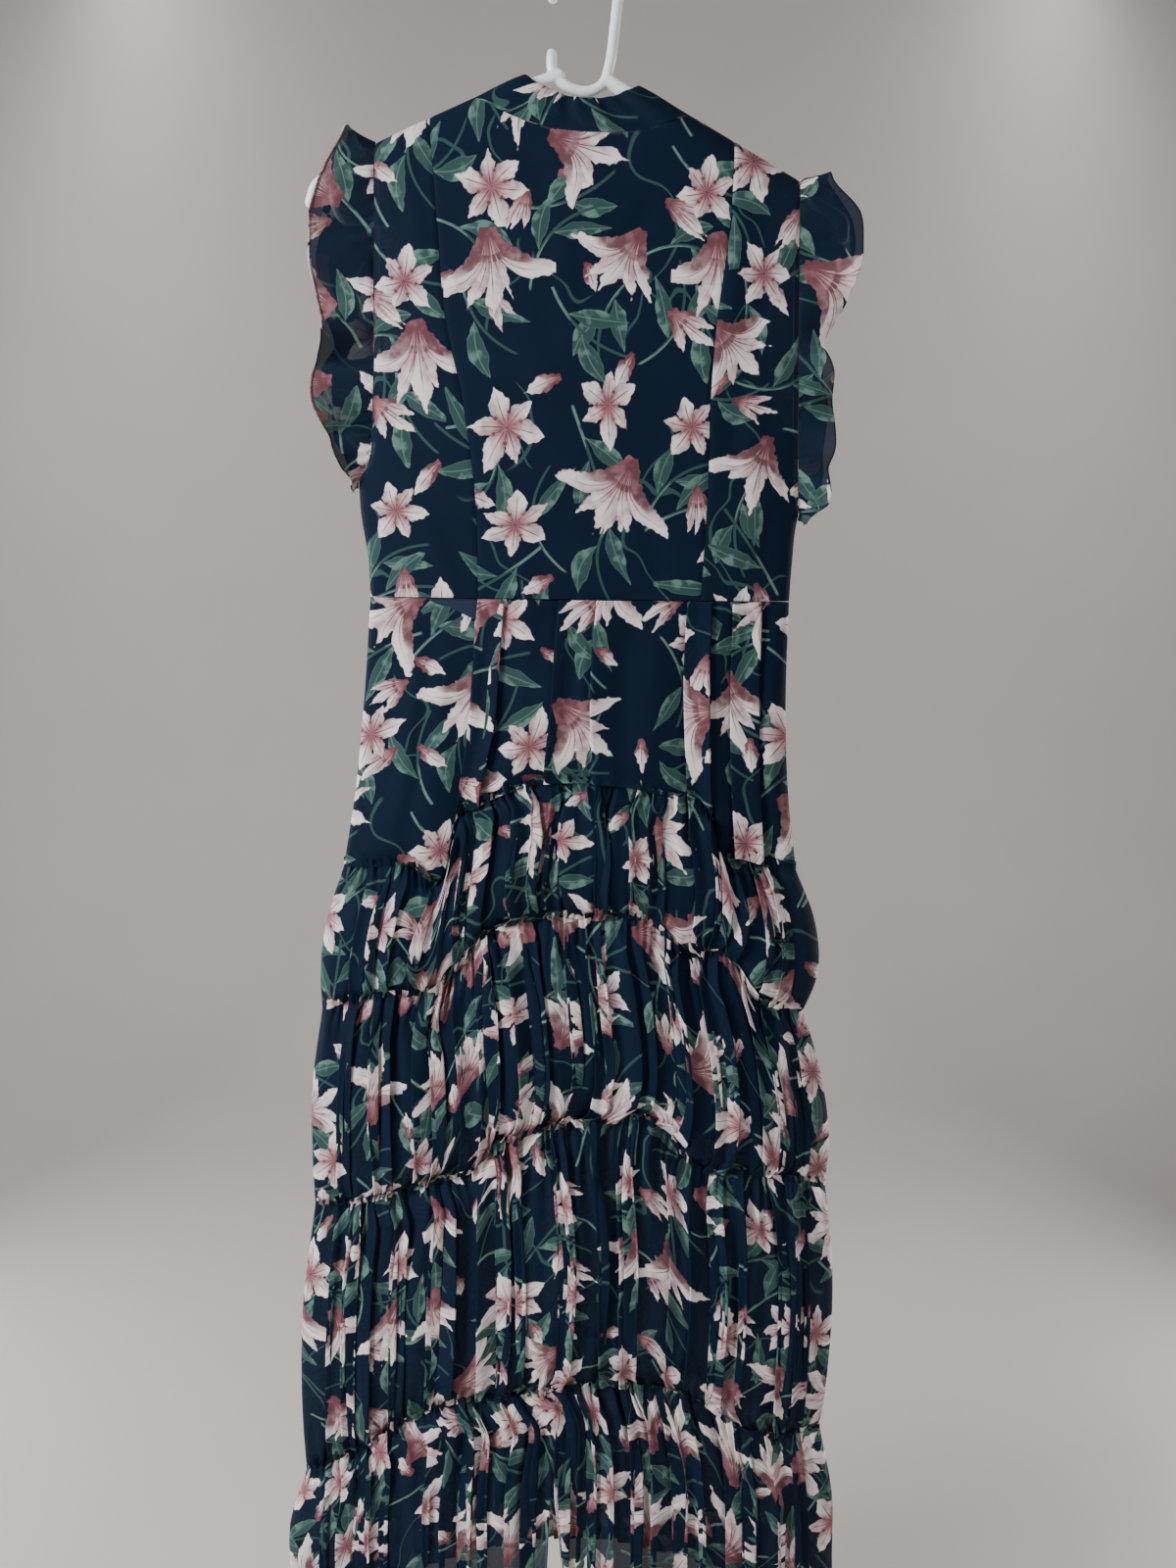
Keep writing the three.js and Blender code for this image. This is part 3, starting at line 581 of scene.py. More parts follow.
@dataclass
class Ruffle:
    """A flutter ruffle, one strip sewn round an armhole, up the back, over the shoulder and down the front.

    Attributes:
        right: whether it is the right one.
        underarm: height where both ends stop.
        crest: outer edge at the shoulder as (x, z).
        edge: x of the outer edge by height.
        back_out, front_out: distance of the outer edge from the middle plane by height.
        flutes: number of small flutes along the strip.
        flute_high: their height at the outer edge.
        hem: radius of the rolled hem.
        columns, rows: spans along and across.
        shift: its place on the roll of printed cloth.
    """

    right: bool
    underarm: float
    crest: Pair
    edge: Run
    back_out: Run
    front_out: Run
    flutes: float = 9
    flute_high: float = 7.0
    hem: float = 0.7
    columns: int = 420
    rows: int = 34
    shift: Pair = (0.0, 0.0)

    def build(self, chiffon: bpy.types.Material) -> None:
        """Builds and dresses the ruffle."""
        sign = 1 if self.right else -1
        around = np.linspace(-1, 1, self.columns + 1)[None, :]
        over = np.abs(around)
        side = np.sign(around + TINY)
        armhole = FORM.armhole_right if self.right else FORM.armhole_left
        top_x = float(armhole(-150.0))
        seam_top = float(FORM.top_line(top_x)) + 1.2
        z = mix(seam_top, self.underarm, ease(over, 0, 1) * 0.35 + over * 0.65)
        seam_x = FORM.outer(z, self.right) + sign * 0.5
        seam_y = side * FORM.layer(seam_x, z) * ease(over, 0, 0.05)
        reach = ease(over, 0.0, 0.12)
        low = ease(1 - over, 0, 0.10)
        edge_z = mix(self.crest[1], z - 3, reach)
        edge_x = mix(self.crest[0], self.edge(z), reach)
        edge_x = mix(seam_x + sign * 6, edge_x, low)
        out = np.where(side < 0, self.back_out(z), self.front_out(z))
        edge_y = side * out * ease(over, 0, 0.10) * mix(0.35, 1, low)
        r = np.linspace(0, 1, self.rows + 1)[:, None]
        phase = self.flutes * math.pi * (around + 0.05 * np.sin(around * 9) + 0.03 * np.sin(around * 23))
        gather = 1.1 * np.sin(phase * 5.3) * (1 - ease(r, 0.0, 0.45)) * ease(r, 0, 0.05)
        flute = self.flute_high * r**1.4 * low
        x = mix(seam_x, edge_x, r) + sign * (2.2 * np.sin(math.pi * r) + flute * 0.1 * np.cos(phase))
        y = mix(seam_y, edge_y, r**0.8) + flute * np.sin(phase) + gather
        lifted = mix(z, edge_z, r) + flute * 0.2 * np.sin(phase + 0.9)
        grid = np.stack([x, y, lifted], axis=-1)
        wide = np.linalg.norm(np.diff(grid, axis=0), axis=2).sum(0)
        length = np.linalg.norm(np.diff(grid[self.rows * 2 // 3], axis=0), axis=1)
        along = np.concatenate([[0], np.cumsum(length)])[None, :]
        cut = np.stack([along * np.ones_like(r), -r * wide[None, :]], axis=-1)
        grid = rolled(grid, self.hem)
        cut = extend_cut(cut, len(grid) - len(cut), 1.0)
        name = "ruffle_right_cloth" if self.right else "ruffle_left_cloth"
        cloth = Cloth(name, grid, cut, not self.right, self.shift)
        join_dress(cloth, chiffon)


# Skirt


@dataclass(frozen=True)
class Fold:
    """A soft knife fold that runs down a skirt piece.

    Attributes:
        at: x of the edge that shows.
        lap: how far the cloth doubles back.
        lean: 1 where the upper layer lies to the right of the edge, -1 where it lies to the left.
        top, low: how much of the fold is there at the upper and the lower seam.
        drift: how far it wanders along the cloth from the upper to the lower seam.
        turn: how far the cloth turns back, in degrees.
    """

    at: float
    lap: float
    lean: int = 1
    top: float = 0.45
    low: float = 0.8
    drift: float = 0.0
    turn: float = 168

    def strength(self, down: Array) -> Array:
        """Share of the fold's turn at each height of the piece."""
        return np.where(down < 0.45, mix(self.top, 1, ease(down, 0, 0.4)), mix(1, self.low, ease(down, 0.5, 1)))


@dataclass(frozen=True)
class Ripple:
    """Small gathers next to a seam.

    Attributes:
        pitch: cloth from one ripple to the next.
        turn: steepest angle of the cloth, in radians.
        reach: share of the piece's height in which they die out.
        low: whether they are at the lower seam.
    """

    pitch: float
    turn: float
    reach: float
    low: bool = False


@dataclass
class SkirtLayer:
    """The back or front of one piece of the skirt, folded from a flat strip.

    Attributes:
        name: the CAD node that it stands for.
        side: back or front.
        top, low: heights of its upper and lower seam along the place across, -1 to 1.
        left, right, depth: its outline by the share of its height.
        folds: its folds from left to right.
        ripples: small gathers at its seams.
        header: height of the frilled edge that stands above the upper seam.
        groove: how far the seams pull the cloth in.
        bulge: how far the cloth swells between two folds.
        hem: radius of the rolled hem, where the piece has one.
        seed: seed of the small unevenness.
        shift: its place on the roll of printed cloth.
        turned: whether the strip is cut upside down.
    """

    name: str
    side: Side
    top: Run
    low: Run
    left: Run
    right: Run
    depth: Run
    folds: Sequence[Fold]
    ripples: Sequence[Ripple]
    header: float = 0.0
    groove: float = 0.0
    bulge: float = 0.0
    hem: float = 0.0
    seed: int = 1
    shift: Pair = (0.0, 0.0)
    turned: bool = False
    rows: int = 46
    header_rows: int = 5
    spacing: float = 2.3
    bend: float = 5.0

    def strip_width(self) -> float:
        """Width of the flat strip."""
        return float(self.right(0.5) - self.left(0.5)) + 2 * sum(fold.lap for fold in self.folds)

    def fold_centres(self) -> list[float]:
        """Where on the flat strip each fold's turned back stretch has its middle."""
        taken, centres, left = 0.0, [], float(self.left(0.5))
        for fold in self.folds:
            start = fold.at - left + taken
            centres.append(start + fold.lap * (1.5 if fold.lean > 0 else 0.5))
            taken += 2 * fold.lap
        return centres

    def stations(self, width: float, centres: Sequence[float]) -> Array:
        """Places of the columns on the strip: even, and closer where a fold turns."""
        places = list(np.arange(0, width, self.spacing)) + [width]
        for fold, centre in zip(self.folds, centres):
            for turn in (centre - fold.lap / 2, centre + fold.lap / 2):
                places += [turn + self.bend * share for share in (-0.5, -0.25, 0, 0.25, 0.5)]
        return np.unique(np.clip(np.array(places), 0, width))

    def slope(self, cloth: Array, down: Array, centres: Sequence[float]) -> Array:
        """The angle of the cloth to the middle plane, along the strip and down the piece.

        Args:
            cloth: places along the strip, one row.
            down: shares of the height, one column.
            centres: middles of the folds on the strip.

        Returns:
            Angles in radians, rows by places.
        """
        angle = np.zeros((len(down), cloth.shape[1]))
        for fold, centre in zip(self.folds, centres):
            d = cloth - centre - fold.drift * (np.clip(down, 0, 1) - 0.5)
            band = ease(d, -fold.lap / 2 - self.bend / 2, -fold.lap / 2 + self.bend / 2)
            band = band - ease(d, fold.lap / 2 - self.bend / 2, fold.lap / 2 + self.bend / 2)
            angle = angle + fold.lean * math.radians(fold.turn) * fold.strength(down) * band
        rng = np.random.default_rng(self.seed)
        for ripple in self.ripples:
            stations = np.linspace(0, cloth.max(), 24)
            warp = np.interp(cloth, stations, rng.uniform(-1, 1, 24))
            swell = np.interp(cloth, stations, rng.uniform(0.35, 1.0, 24))
            fade = ease(down, 1 - ripple.reach, 1) if ripple.low else 1 - ease(down, 0, ripple.reach)
            wave = np.sin(2 * math.pi * cloth / ripple.pitch + 5 * warp)
            angle = angle + ripple.turn * fade * swell * wave
        warp = np.interp(cloth, np.linspace(0, cloth.max(), 15), rng.uniform(-1, 1, 15))
        roll = 0.22 * np.sin(2 * math.pi * cloth / 57 + 4 * warp + 1.5 * down)
        return angle + roll * np.sin(math.pi * np.clip(down, 0, 1))

    def cloth(self) -> Cloth:
        """Folds the flat strip on to the outline.

        Returns:
            The cloth, with the strip as its cut.
        """
        width, centres = self.strip_width(), self.fold_centres()
        down = np.linspace(0, 1, self.rows + 1)
        if self.header:
            lift = -np.linspace(1, 0, self.header_rows + 1)[:-1] * 1e-3
            down = np.concatenate([lift, down])
        down = down[:, None]
        fine = np.arange(0, width + 0.25, 0.5)[None, :]
        angle = self.slope(fine, down, centres)
        step = fine[0, 1]
        x = np.cumsum(np.cos(angle), axis=1) * step
        y = np.cumsum(np.sin(angle), axis=1) * step
        share = (x - x[:, :1]) / (x[:, -1:] - x[:, :1])
        bounds = [0.0, *[(a + b) / 2 for a, b in zip(centres, centres[1:])], width]
        at = np.clip((np.array(bounds) / step).astype(int), 0, fine.shape[1] - 1)
        level = np.array([np.interp(fine[0], fine[0, at], row[at]) for row in y])
        between = np.interp(fine[0], fine[0, at], np.arange(len(at)))
        swell = self.bulge * np.abs(np.sin(math.pi * between)) * np.sin(math.pi * np.clip(down, 0.02, 0.98)) ** 0.6
        places = self.stations(width, centres)
        share = np.array([np.interp(places, fine[0], row) for row in share])
        high = np.array([np.interp(places, fine[0], row) for row in y - level + swell])
        return self.hang(places, down, share, high)

    def hang(self, places: Array, down: Array, share: Array, high: Array) -> Cloth:
        """Puts the folded strip on the outline.

        Args:
            places: columns' places on the strip.
            down: shares of the height, with tiny negative ones for the header's rows.
            share: places across, 0 to 1.
            high: heights of the folds.

        Returns:
            The cloth.
        """
        t = np.clip(down, 0, 1)
        across = 2 * share - 1
        x = mix(self.left(t), self.right(t), share)
        round_off = np.sqrt(np.clip(1 - across**2, 0, 1))
        top, low = self.top(across), self.low(across)
        rng = np.random.default_rng(self.seed + 100)
        uneven = np.interp(places, np.linspace(0, places[-1], 60), rng.uniform(0.55, 1.15, 60))[None, :]
        raised = np.clip(-down * 1e3, 0, 1)
        z = mix(top - 0.5, low, t) + raised * self.header * uneven
        lower = 0 if self.hem else self.groove
        upper = self.groove if self.header else 0
        pull = lower * ease(t, 0.88, 1.0) + upper * (1 - ease(t, 0, 0.10)) - raised * 5.0 * uneven
        base = self.depth(t) * round_off
        y = base + (high - pull) * np.minimum(1, 2.2 * round_off)
        y = np.maximum(y, 0.2 + 0.3 * round_off)
        grid = np.stack([x, self.side.value * y, z], axis=-1)
        drop = np.where(raised > 0, -raised * self.header, t * (top - low))
        if self.turned:
            drop = -drop
        strip = places[None, :] * np.ones_like(t)
        cut = np.stack([strip * -self.side.value, -drop], axis=-1)
        if self.hem:
            grid = rolled(grid, self.hem)
            cut = extend_cut(cut, len(grid) - len(cut), 1.0)
        return Cloth(self.name + "_cloth", grid, cut, self.side is Side.FRONT, self.shift)


@dataclass
class Skirt:
    """The yoke with its knife pleats and four gathered tiers, each a back and a front.

    Attributes:
        seams: heights of each seam of the back along the place across, -1 to 1.
        shares, left, right, depth: each piece's outline by shares of its height.
        shifts: each piece's place on the roll of printed cloth.
        tier_ripples: the small gathers at a tier's seams; those of the last two are at the lower seam.
        back_folds: each piece's folds on the back, as the values of a Fold.
        small_folds: small folds between them.
    """

    seams: tuple[Run, ...] = (
        Run((-1, 0, 1), (-517, -517, -517)),
        Run(
            (-1, -0.7, -0.53, -0.49, -0.4, -0.2, 0.1, 0.45, 0.6, 0.65, 0.75, 1),
            (-763, -760, -757, -719, -703, -684, -679, -693, -706, -738, -748, -762),
        ),
        Run(
            (-1, -0.7, -0.5, -0.42, -0.3, -0.2, 0.1, 0.4, 0.46, 0.7, 0.76, 1),
            (-902, -882, -874, -852, -820, -810, -804, -818, -834, -850, -874, -898),
        ),
        Run(
            (-1, -0.7, -0.45, -0.36, -0.28, -0.2, 0.1, 0.36, 0.42, 0.7, 1),
            (-1104, -1085, -1060, -1052, -1026, -1018, -1001, -1010, -1032, -1056, -1075),
        ),
        Run((-1, -0.7, -0.45, -0.2, 0.1, 0.45, 0.7, 1), (-1400, -1345, -1300, -1288, -1274, -1285, -1331, -1345)),
        Run(
            (-1, -0.7, -0.45, -0.2, -0.07, -0.056, -0.045, -0.02, -0.01, 0.008, 0.022, 0.06, 0.45, 0.7, 1),
            (-1585, -1562, -1542, -1526, -1518, -1512, -1410, -1399, -1416, -1466, -1512, -1521, -1530, -1549,
             -1566),
        ),
    )
    names: tuple[str, ...] = ("yoke", "tier_1", "tier_2", "tier_3", "tier_4")
    shares: tuple[tuple[float, ...], ...] = (
        (0, 0.38, 0.72, 1),
        (0, 0.34, 0.8, 1),
        (0, 0.35, 0.8, 1),
        (0, 0.35, 0.8, 1),
        (0, 0.35, 0.7, 1),
    )
    left: tuple[tuple[float, ...], ...] = (
        (-184, -192, -202, -214),
        (-214, -230, -239, -238),
        (-238, -249, -252, -251),
        (-251, -266, -271, -269),
        (-269, -288, -290, -292),
    )
    right: tuple[tuple[float, ...], ...] = (
        (187, 188, 194, 204),
        (204, 223, 227, 217),
        (217, 236, 248, 246),
        (246, 258, 258, 254),
        (254, 270, 274, 278),
    )
    depth: tuple[tuple[float, ...], ...] = (
        (22, 25, 28, 29),
        (29, 35, 37, 33),
        (33, 39, 42, 38),
        (38, 44, 47, 43),
        (43, 49, 52, 54),
    )
    shifts: tuple[Pair, ...] = ((18, 40), (400, 260), (90, 610), (510, 930), (220, 1330))
    tier_ripples: tuple[Ripple, ...] = (
        Ripple(9.5, 1.2, 0.15), Ripple(14, 0.8, 0.3), Ripple(23, 0.7, 0.6), Ripple(12, 1.1, 0.09, True),
        Ripple(19, 0.6, 0.3, True),
    )
    back_folds: tuple[tuple[tuple[float, ...], ...], ...] = (
        (
            (-94, 15, 1, 1, 0.9), (-68, 12, -1, 1, 0.9), (-22, 9, 1, 0.9, 0.5), (11, 8, 1, 0.9, 0.4),
            (94, 14, 1, 1, 0.9), (119, 9, -1, 1, 0.9), (135, 8, 1, 1, 0.8), (164, 9, -1, 1, 0.7),
        ),
        (
            (-204, 8, 1, 0.75, 0.67, -2), (-178, 12, -1, 0.67, 0.87, 2), (-149, 13, 1, 0.83, 0.75, -2),
            (-121, 7, 1, 0.63, 0.83, 2), (-92, 15, -1, 0.79, 0.91, 1), (-58, 9, 1, 0.87, 0.63, 2),
            (-38, 13, 1, 0.75, 0.91, -2), (-8, 9, -1, 0.63, 0.79, 2), (20, 14, 1, 0.83, 0.87, 2),
            (50, 8, 1, 0.75, 0.67, -2), (84, 15, -1, 0.87, 0.79, 2), (108, 7, 1, 0.67, 0.79, -2),
            (143, 13, -1, 0.79, 0.91, 2), (172, 10, 1, 0.79, 0.67, 1), (202, 8, -1, 0.71, 0.83, 2),
        ),
        (
            (-222, 9, 1, 0.71, 0.79, -2), (-190, 14, 1, 0.87, 0.71, 2), (-166, 8, -1, 0.63, 0.87, -2),
            (-131, 16, 1, 0.79, 0.91, 2), (-106, 8, 1, 0.75, 0.67, 2), (-66, 16, -1, 0.87, 0.83, -2),
            (-38, 13, 1, 0.71, 0.95, 2), (-4, 15, 1, 0.83, 0.87, -2), (36, 12, -1, 0.75, 0.71, 2),
            (62, 8, -1, 0.63, 0.87, 2), (92, 17, 1, 0.87, 0.87, -2), (130, 10, 1, 0.67, 0.79, 2),
            (156, 14, -1, 0.83, 0.71, 1), (190, 10, 1, 0.71, 0.87, 2), (222, 8, -1, 0.75, 0.71, 2),
        ),
        (
            (-240, 9, 1, 0.71, 0.79, -2), (-207, 15, -1, 0.83, 0.87, -2), (-176, 10, 1, 0.63, 0.83, 2),
            (-139, 17, 1, 0.87, 0.91, -3), (-108, 9, -1, 0.75, 0.67, 2), (-72, 18, 1, 0.79, 0.91, 2),
            (-42, 12, -1, 0.67, 0.95, -1), (-14, 17, 1, 0.87, 0.95, 1), (24, 13, 1, 0.79, 0.75, 3),
            (64, 16, -1, 0.83, 0.91, 2), (92, 8, 1, 0.63, 0.83, -2), (130, 17, 1, 0.87, 0.79, 2),
            (168, 11, -1, 0.71, 0.87, -2), (198, 14, 1, 0.79, 0.75, 2), (234, 8, -1, 0.75, 0.83, 3),
        ),
        (
            (-252, 10, 1, 0.71, 0.87, -4), (-217, 16, 1, 0.83, 0.91, -2), (-178, 13, -1, 0.71, 0.79, 2),
            (-146, 10, 1, 0.67, 0.87, -2), (-110, 17, 1, 0.87, 0.91, -2), (-78, 12, -1, 0.71, 0.83, 2),
            (-46, 18, 1, 0.87, 0.95, -2), (-12, 18, 1, 0.83, 0.95, 2), (30, 13, -1, 0.75, 0.79, 2),
            (62, 14, 1, 0.71, 0.91, -2), (102, 17, 1, 0.87, 0.87, 2), (136, 10, -1, 0.67, 0.83, 2),
            (172, 16, 1, 0.83, 0.91, 3), (208, 11, 1, 0.71, 0.79, 2), (244, 9, -1, 0.75, 0.87, 4),
        ),
    )

    small_folds: tuple[tuple[tuple[float, ...], ...], ...] = (
        (),
        ((-191, 5, 1), (-163, 6, -1), (-106, 6, 1), (-75, 7, -1), (-23, 6, 1), (36, 7, -1), (67, 7, 1), (126, 7, 1),
         (158, 6, -1), (187, 6, 1)),
        ((-206, 7, -1), (-149, 7, 1), (-86, 7, 1), (-52, 6, 1), (-20, 7, -1), (16, 8, 1), (77, 6, -1),
         (111, 7, -1), (173, 7, 1), (206, 6, 1)),
        ((-224, 7, 1), (-191, 6, -1), (-157, 7, -1), (-90, 7, 1), (-57, 6, -1), (5, 8, -1), (44, 8, 1), (111, 7, 1),
         (149, 7, -1), (216, 7, 1)),
        ((-235, 7, 1), (-197, 7, -1), (-128, 8, 1), (-94, 6, -1), (-62, 7, 1), (9, 8, 1), (46, 7, -1), (82, 8, 1),
         (119, 7, -1), (154, 7, 1), (190, 7, -1), (226, 7, 1)),
    )

    def folds(self, index: int, side: Side) -> list[Fold]:
        """One layer's folds. The yoke's front has none, and the tiers' fronts mirror their backs."""
        rows = sorted(self.back_folds[index] + self.small_folds[index])
        if side is Side.BACK:
            return [Fold(*row) for row in rows]
        if index == 0:
            return []
        middle = (self.left[index][2] + self.right[index][2]) / 2
        return [Fold(2 * middle - at + 9, lap, -lean, *rest) for at, lap, lean, *rest in reversed(rows)]

    def seam(self, index: int, side: Side) -> Run:
        """A seam of the back, or of the front, which arches evenly between the same ends."""
        back = self.seams[index]
        if side is Side.BACK:
            return back
        first, last, top = back.value[0], back.value[-1], float(back(0.1))
        places = np.linspace(-1, 1, 9)
        rise = top - (first + last) / 2
        return Run(tuple(places), tuple(mix(first, last, (places + 1) / 2) + rise * np.cos(places * math.pi / 2) ** 2))

    def layer(self, index: int, side: Side) -> SkirtLayer:
        """One layer of one piece."""
        last = index == len(self.names) - 1
        tier = index > 0
        return SkirtLayer(
            name=self.names[index] + ("_back" if side is Side.BACK else "_front"),
            side=side,
            top=self.seam(index, side),
            low=self.seam(index + 1, side),
            left=Run(self.shares[index], self.left[index]),
            right=Run(self.shares[index], self.right[index]),
            depth=Run(self.shares[index], self.depth[index]),
            folds=self.folds(index, side),
            ripples=self.tier_ripples[: 3 if last else None] if tier else (Ripple(19, 0.3, 0.07, True),),
            header=9.0 if tier else 0.0,
            groove=6.0 if tier else 2.5,
            bulge=5.0 if tier else 0.8,
            hem=0.8 if last else 0.0,
            seed=11 * index + side.value + 3,
            shift=tuple(np.add(self.shifts[index], (0, 0) if side is Side.BACK else (1700, 170))),
            turned=index in (2, 4),
        )

    def build(self, chiffon: bpy.types.Material) -> None:
        """Builds and dresses every piece."""
        for index, name in enumerate(self.names):
            for side in Side:
                join_dress(self.layer(index, side).cloth(), chiffon)


@dataclass
class Slip:
    """The opaque tube under the skirt, from the waist to above the knee.

    Attributes:
        left, right, depth: its outline by height.
        hem_z: height of its hem.
        folds: soft upright folds, as (x, half width, height at the hem).
        columns, rows: spans round and down.
    """

    hem_z: float = -1010
    left: Run = Run(SLIP_Z, (-180.5, -180, -187, -198))
    right: Run = Run(SLIP_Z, (183.5, 183, 190, 201))
    depth: Run = Run(SLIP_Z, (18.5, 16, 17, 18))
    folds: tuple[Triple, ...] = (
        (-140, 24, 3.0),
        (-84, 20, -2.6),
        (-30, 26, 3.2),
        (26, 22, -2.8),
        (84, 26, 3.0),
        (142, 22, -2.4),
    )
    hem: float = 0.9
    columns: int = 220
    rows: int = 70

    def build(self, cloth: bpy.types.Material) -> None:
        """Builds and dresses the slip as one tube, open at the top and the hem."""
        turn = np.linspace(0, 2 * math.pi, self.columns + 1)[None, :]
        down = np.linspace(0, 1, self.rows + 1)[:, None]
        z = mix(FORM.waist - FORM.seam_gap, self.hem_z, down)
        left, right = self.left(z), self.right(z)
        x = (left + right) / 2 - (right - left) / 2 * np.cos(turn)
        front = np.sin(turn) < 0
        soft = sum(
            high * np.exp(-(((np.where(front, -x, x) - at) / half) ** 2)) for at, half, high in self.folds
        )
        y = -(self.depth(z) * np.sin(turn) + soft * down * np.sin(turn))
        grid = np.stack([x, y, z * np.ones_like(turn)], axis=-1)
        steps = np.linalg.norm(np.diff(grid[self.rows // 2], axis=0), axis=1)
        around = np.concatenate([[0], np.cumsum(steps)])[None, :] * np.ones_like(down)
        cut = np.stack([around, z * np.ones_like(turn)], axis=-1)
        grid = rolled(grid, self.hem)
        cut = extend_cut(cut, len(grid) - len(cut), 1.2)
        join_dress(Cloth("slip_cloth", grid, cut), cloth)


# Hanger


def smooth_route(points: Sequence[Pair], step: float) -> Array:
    """A smooth curve through points of the middle plane.

    Args:
        points: (x, z) of each point.
        step: distance between the curve's stations.

    Returns:
        The stations as rows of (x, z).
    """
    knots = np.array(points, float)
    chord = np.concatenate([[0], np.cumsum(np.sqrt(np.linalg.norm(np.diff(knots, axis=0), axis=1)))])
    count = max(8, int(np.linalg.norm(np.diff(knots, axis=0), axis=1).sum() / step))
    where = np.linspace(0, chord[-1], count + 1)
    return np.stack([Run(chord, knots[:, 0])(where), Run(chord, knots[:, 1])(where)], axis=1)


def add_bar(body: bmesh.types.BMesh, route: Array, radius: float, sides: int = 20) -> None:
    """Adds a closed round bar along a route of the middle plane, with a ball at each end.

    Args:
        body: the mesh that it is added to.
        route: stations as rows of (x, z).
        radius: the bar's radius.
        sides: sides of its section.
    """
    ways = np.gradient(route, axis=0)
    ways /= np.linalg.norm(ways, axis=1, keepdims=True)

    def place(i: int) -> Matrix:
        along = Vector((ways[i, 0], 0, ways[i, 1]))
        across = Vector((0, 1, 0))
        made = Matrix((across.cross(along), across, along)).transposed().to_4x4()
        return Matrix.Translation(Vector((route[i, 0], 0, route[i, 1])) * MM) @ made

    ring = bmesh.ops.create_circle(body, segments=sides, radius=radius * MM, cap_ends=True, matrix=place(0))["verts"]
    edges = list({edge for vert in ring for edge in vert.link_edges})
    for i in range(1, len(route)):
        made = bmesh.ops.extrude_edge_only(body, edges=edges)["geom"]
        ring = [item for item in made if isinstance(item, bmesh.types.BMVert)]
        edges = [item for item in made if isinstance(item, bmesh.types.BMEdge)]
        bmesh.ops.transform(body, matrix=place(i) @ place(i - 1).inverted(), verts=ring)
    bmesh.ops.contextual_create(body, geom=edges)
    for end in (route[0], route[-1]):
        spot = Matrix.Translation((end[0] * MM, 0, end[1] * MM))
        bmesh.ops.create_uvsphere(body, u_segments=sides, v_segments=12, radius=radius * MM * 0.99, matrix=spot)


@dataclass
class Hanger:
    """One white moulding: a hook, a small second hook at its foot, two arms with turned down tips and a rail.

    Attributes:
        bar: radius of the hook, the arms and the rail.
        hook_radius, hook_degrees: the hook's arc.
        foot: the route from the second hook's peg round the foot up to the hook.
        arm_below: how far the arms' middles lie under the dress's top line.
        left_arm, right_arm: the arm's start, the x of its points under the cloth, and its tip's points.
        rail: the rail's route.
        voxel: grain at which the bars are melted into one body.
    """

    bar: dict[str, float] = field(default_factory=lambda: {"hook": 4.5, "arm": 5.3, "rail": 4.0})
    hook_radius: float = 28
    hook_degrees: Pair = (-6, 205)
    foot: tuple[Pair, ...] = (
        (-26, -77), (-25.5, -88), (-16, -99.5), (2, -105), (16, -99), (21.5, -84), (25, -58),
    )
    arm_below: float = 10.0
    left_arm: tuple = ((-20, -93), (-49, -90, -130, -171), ((-206, -171), (-221, -179), (-226.5, -192)))
    right_arm: tuple = ((19, -96), (47, 89, 135, 180), ((206, -194), (218, -202), (219, -215)))
    rail: tuple[Pair, ...] = (
        (-208, -170), (-207, -192), (-200, -204.5), (-184, -206.5), (-60, -212), (60, -218), (160, -222.5),
        (175, -220), (181, -207), (181.5, -182),
    )
    voxel: float = 1.1

    def arm(self, parts: tuple) -> Array:
        """Route of one arm, under the cloth's top line."""
        start, under, tip = parts
        points = [start, *((x, float(FORM.top_line(x)) - self.arm_below) for x in under), *tip]
        return smooth_route(points, 3)

    def build(self, plastic: bpy.types.Material) -> None:
        """Sweeps the bars, melts them into one body and smooths it."""
        middle = -(self.hook_radius - self.bar["hook"])
        turns = np.radians(np.linspace(*self.hook_degrees, 12))
        arc = [(self.hook_radius * math.cos(a), middle + self.hook_radius * math.sin(a)) for a in turns]
        body = bmesh.new()
        add_bar(body, smooth_route([*self.foot, *arc], 2), self.bar["hook"])
        add_bar(body, self.arm(self.left_arm), self.bar["arm"])
        add_bar(body, self.arm(self.right_arm), self.bar["arm"])
        add_bar(body, smooth_route(self.rail, 3), self.bar["rail"])
        bmesh.ops.recalc_face_normals(body, faces=body.faces)
        raw = bpy.data.meshes.new("hanger_bars")
        body.to_mesh(raw)
        body.free()
        piece = bpy.data.objects.new("hanger_moulding", raw)
        bpy.context.scene.collection.objects.link(piece)
        melt = piece.modifiers.new("melt", "REMESH")
        melt.mode = "VOXEL"
        melt.voxel_size = self.voxel * MM
        seen = piece.evaluated_get(bpy.context.evaluated_depsgraph_get())
        joined = bpy.data.meshes.new_from_object(seen)
        piece.modifiers.clear()
        smooth = bmesh.new()
        smooth.from_mesh(joined)
        for _ in range(4):
            bmesh.ops.smooth_vert(
                smooth, verts=smooth.verts, factor=0.5, use_axis_x=True, use_axis_y=True, use_axis_z=True
            )
        smooth.to_mesh(joined)
        smooth.free()
        joined.shade_smooth()
        piece.data = joined
        piece.data.materials.clear()
        piece.data.materials.append(plastic)
        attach(piece, "root")
        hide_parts("hanger")
        LOG.info("%s: %d faces", piece.name, len(joined.polygons))


# Finishes


def linear(red: float, green: float, blue: float) -> tuple[float, float, float, float]:
    """A screen colour of 0 to 255 as Blender's linear colour."""
    parts = [(c / 255) / 12.92 if c / 255 <= 0.04045 else ((c / 255 + 0.055) / 1.055) ** 2.4 for c in (red, green, blue)]
    return (*parts, 1.0)


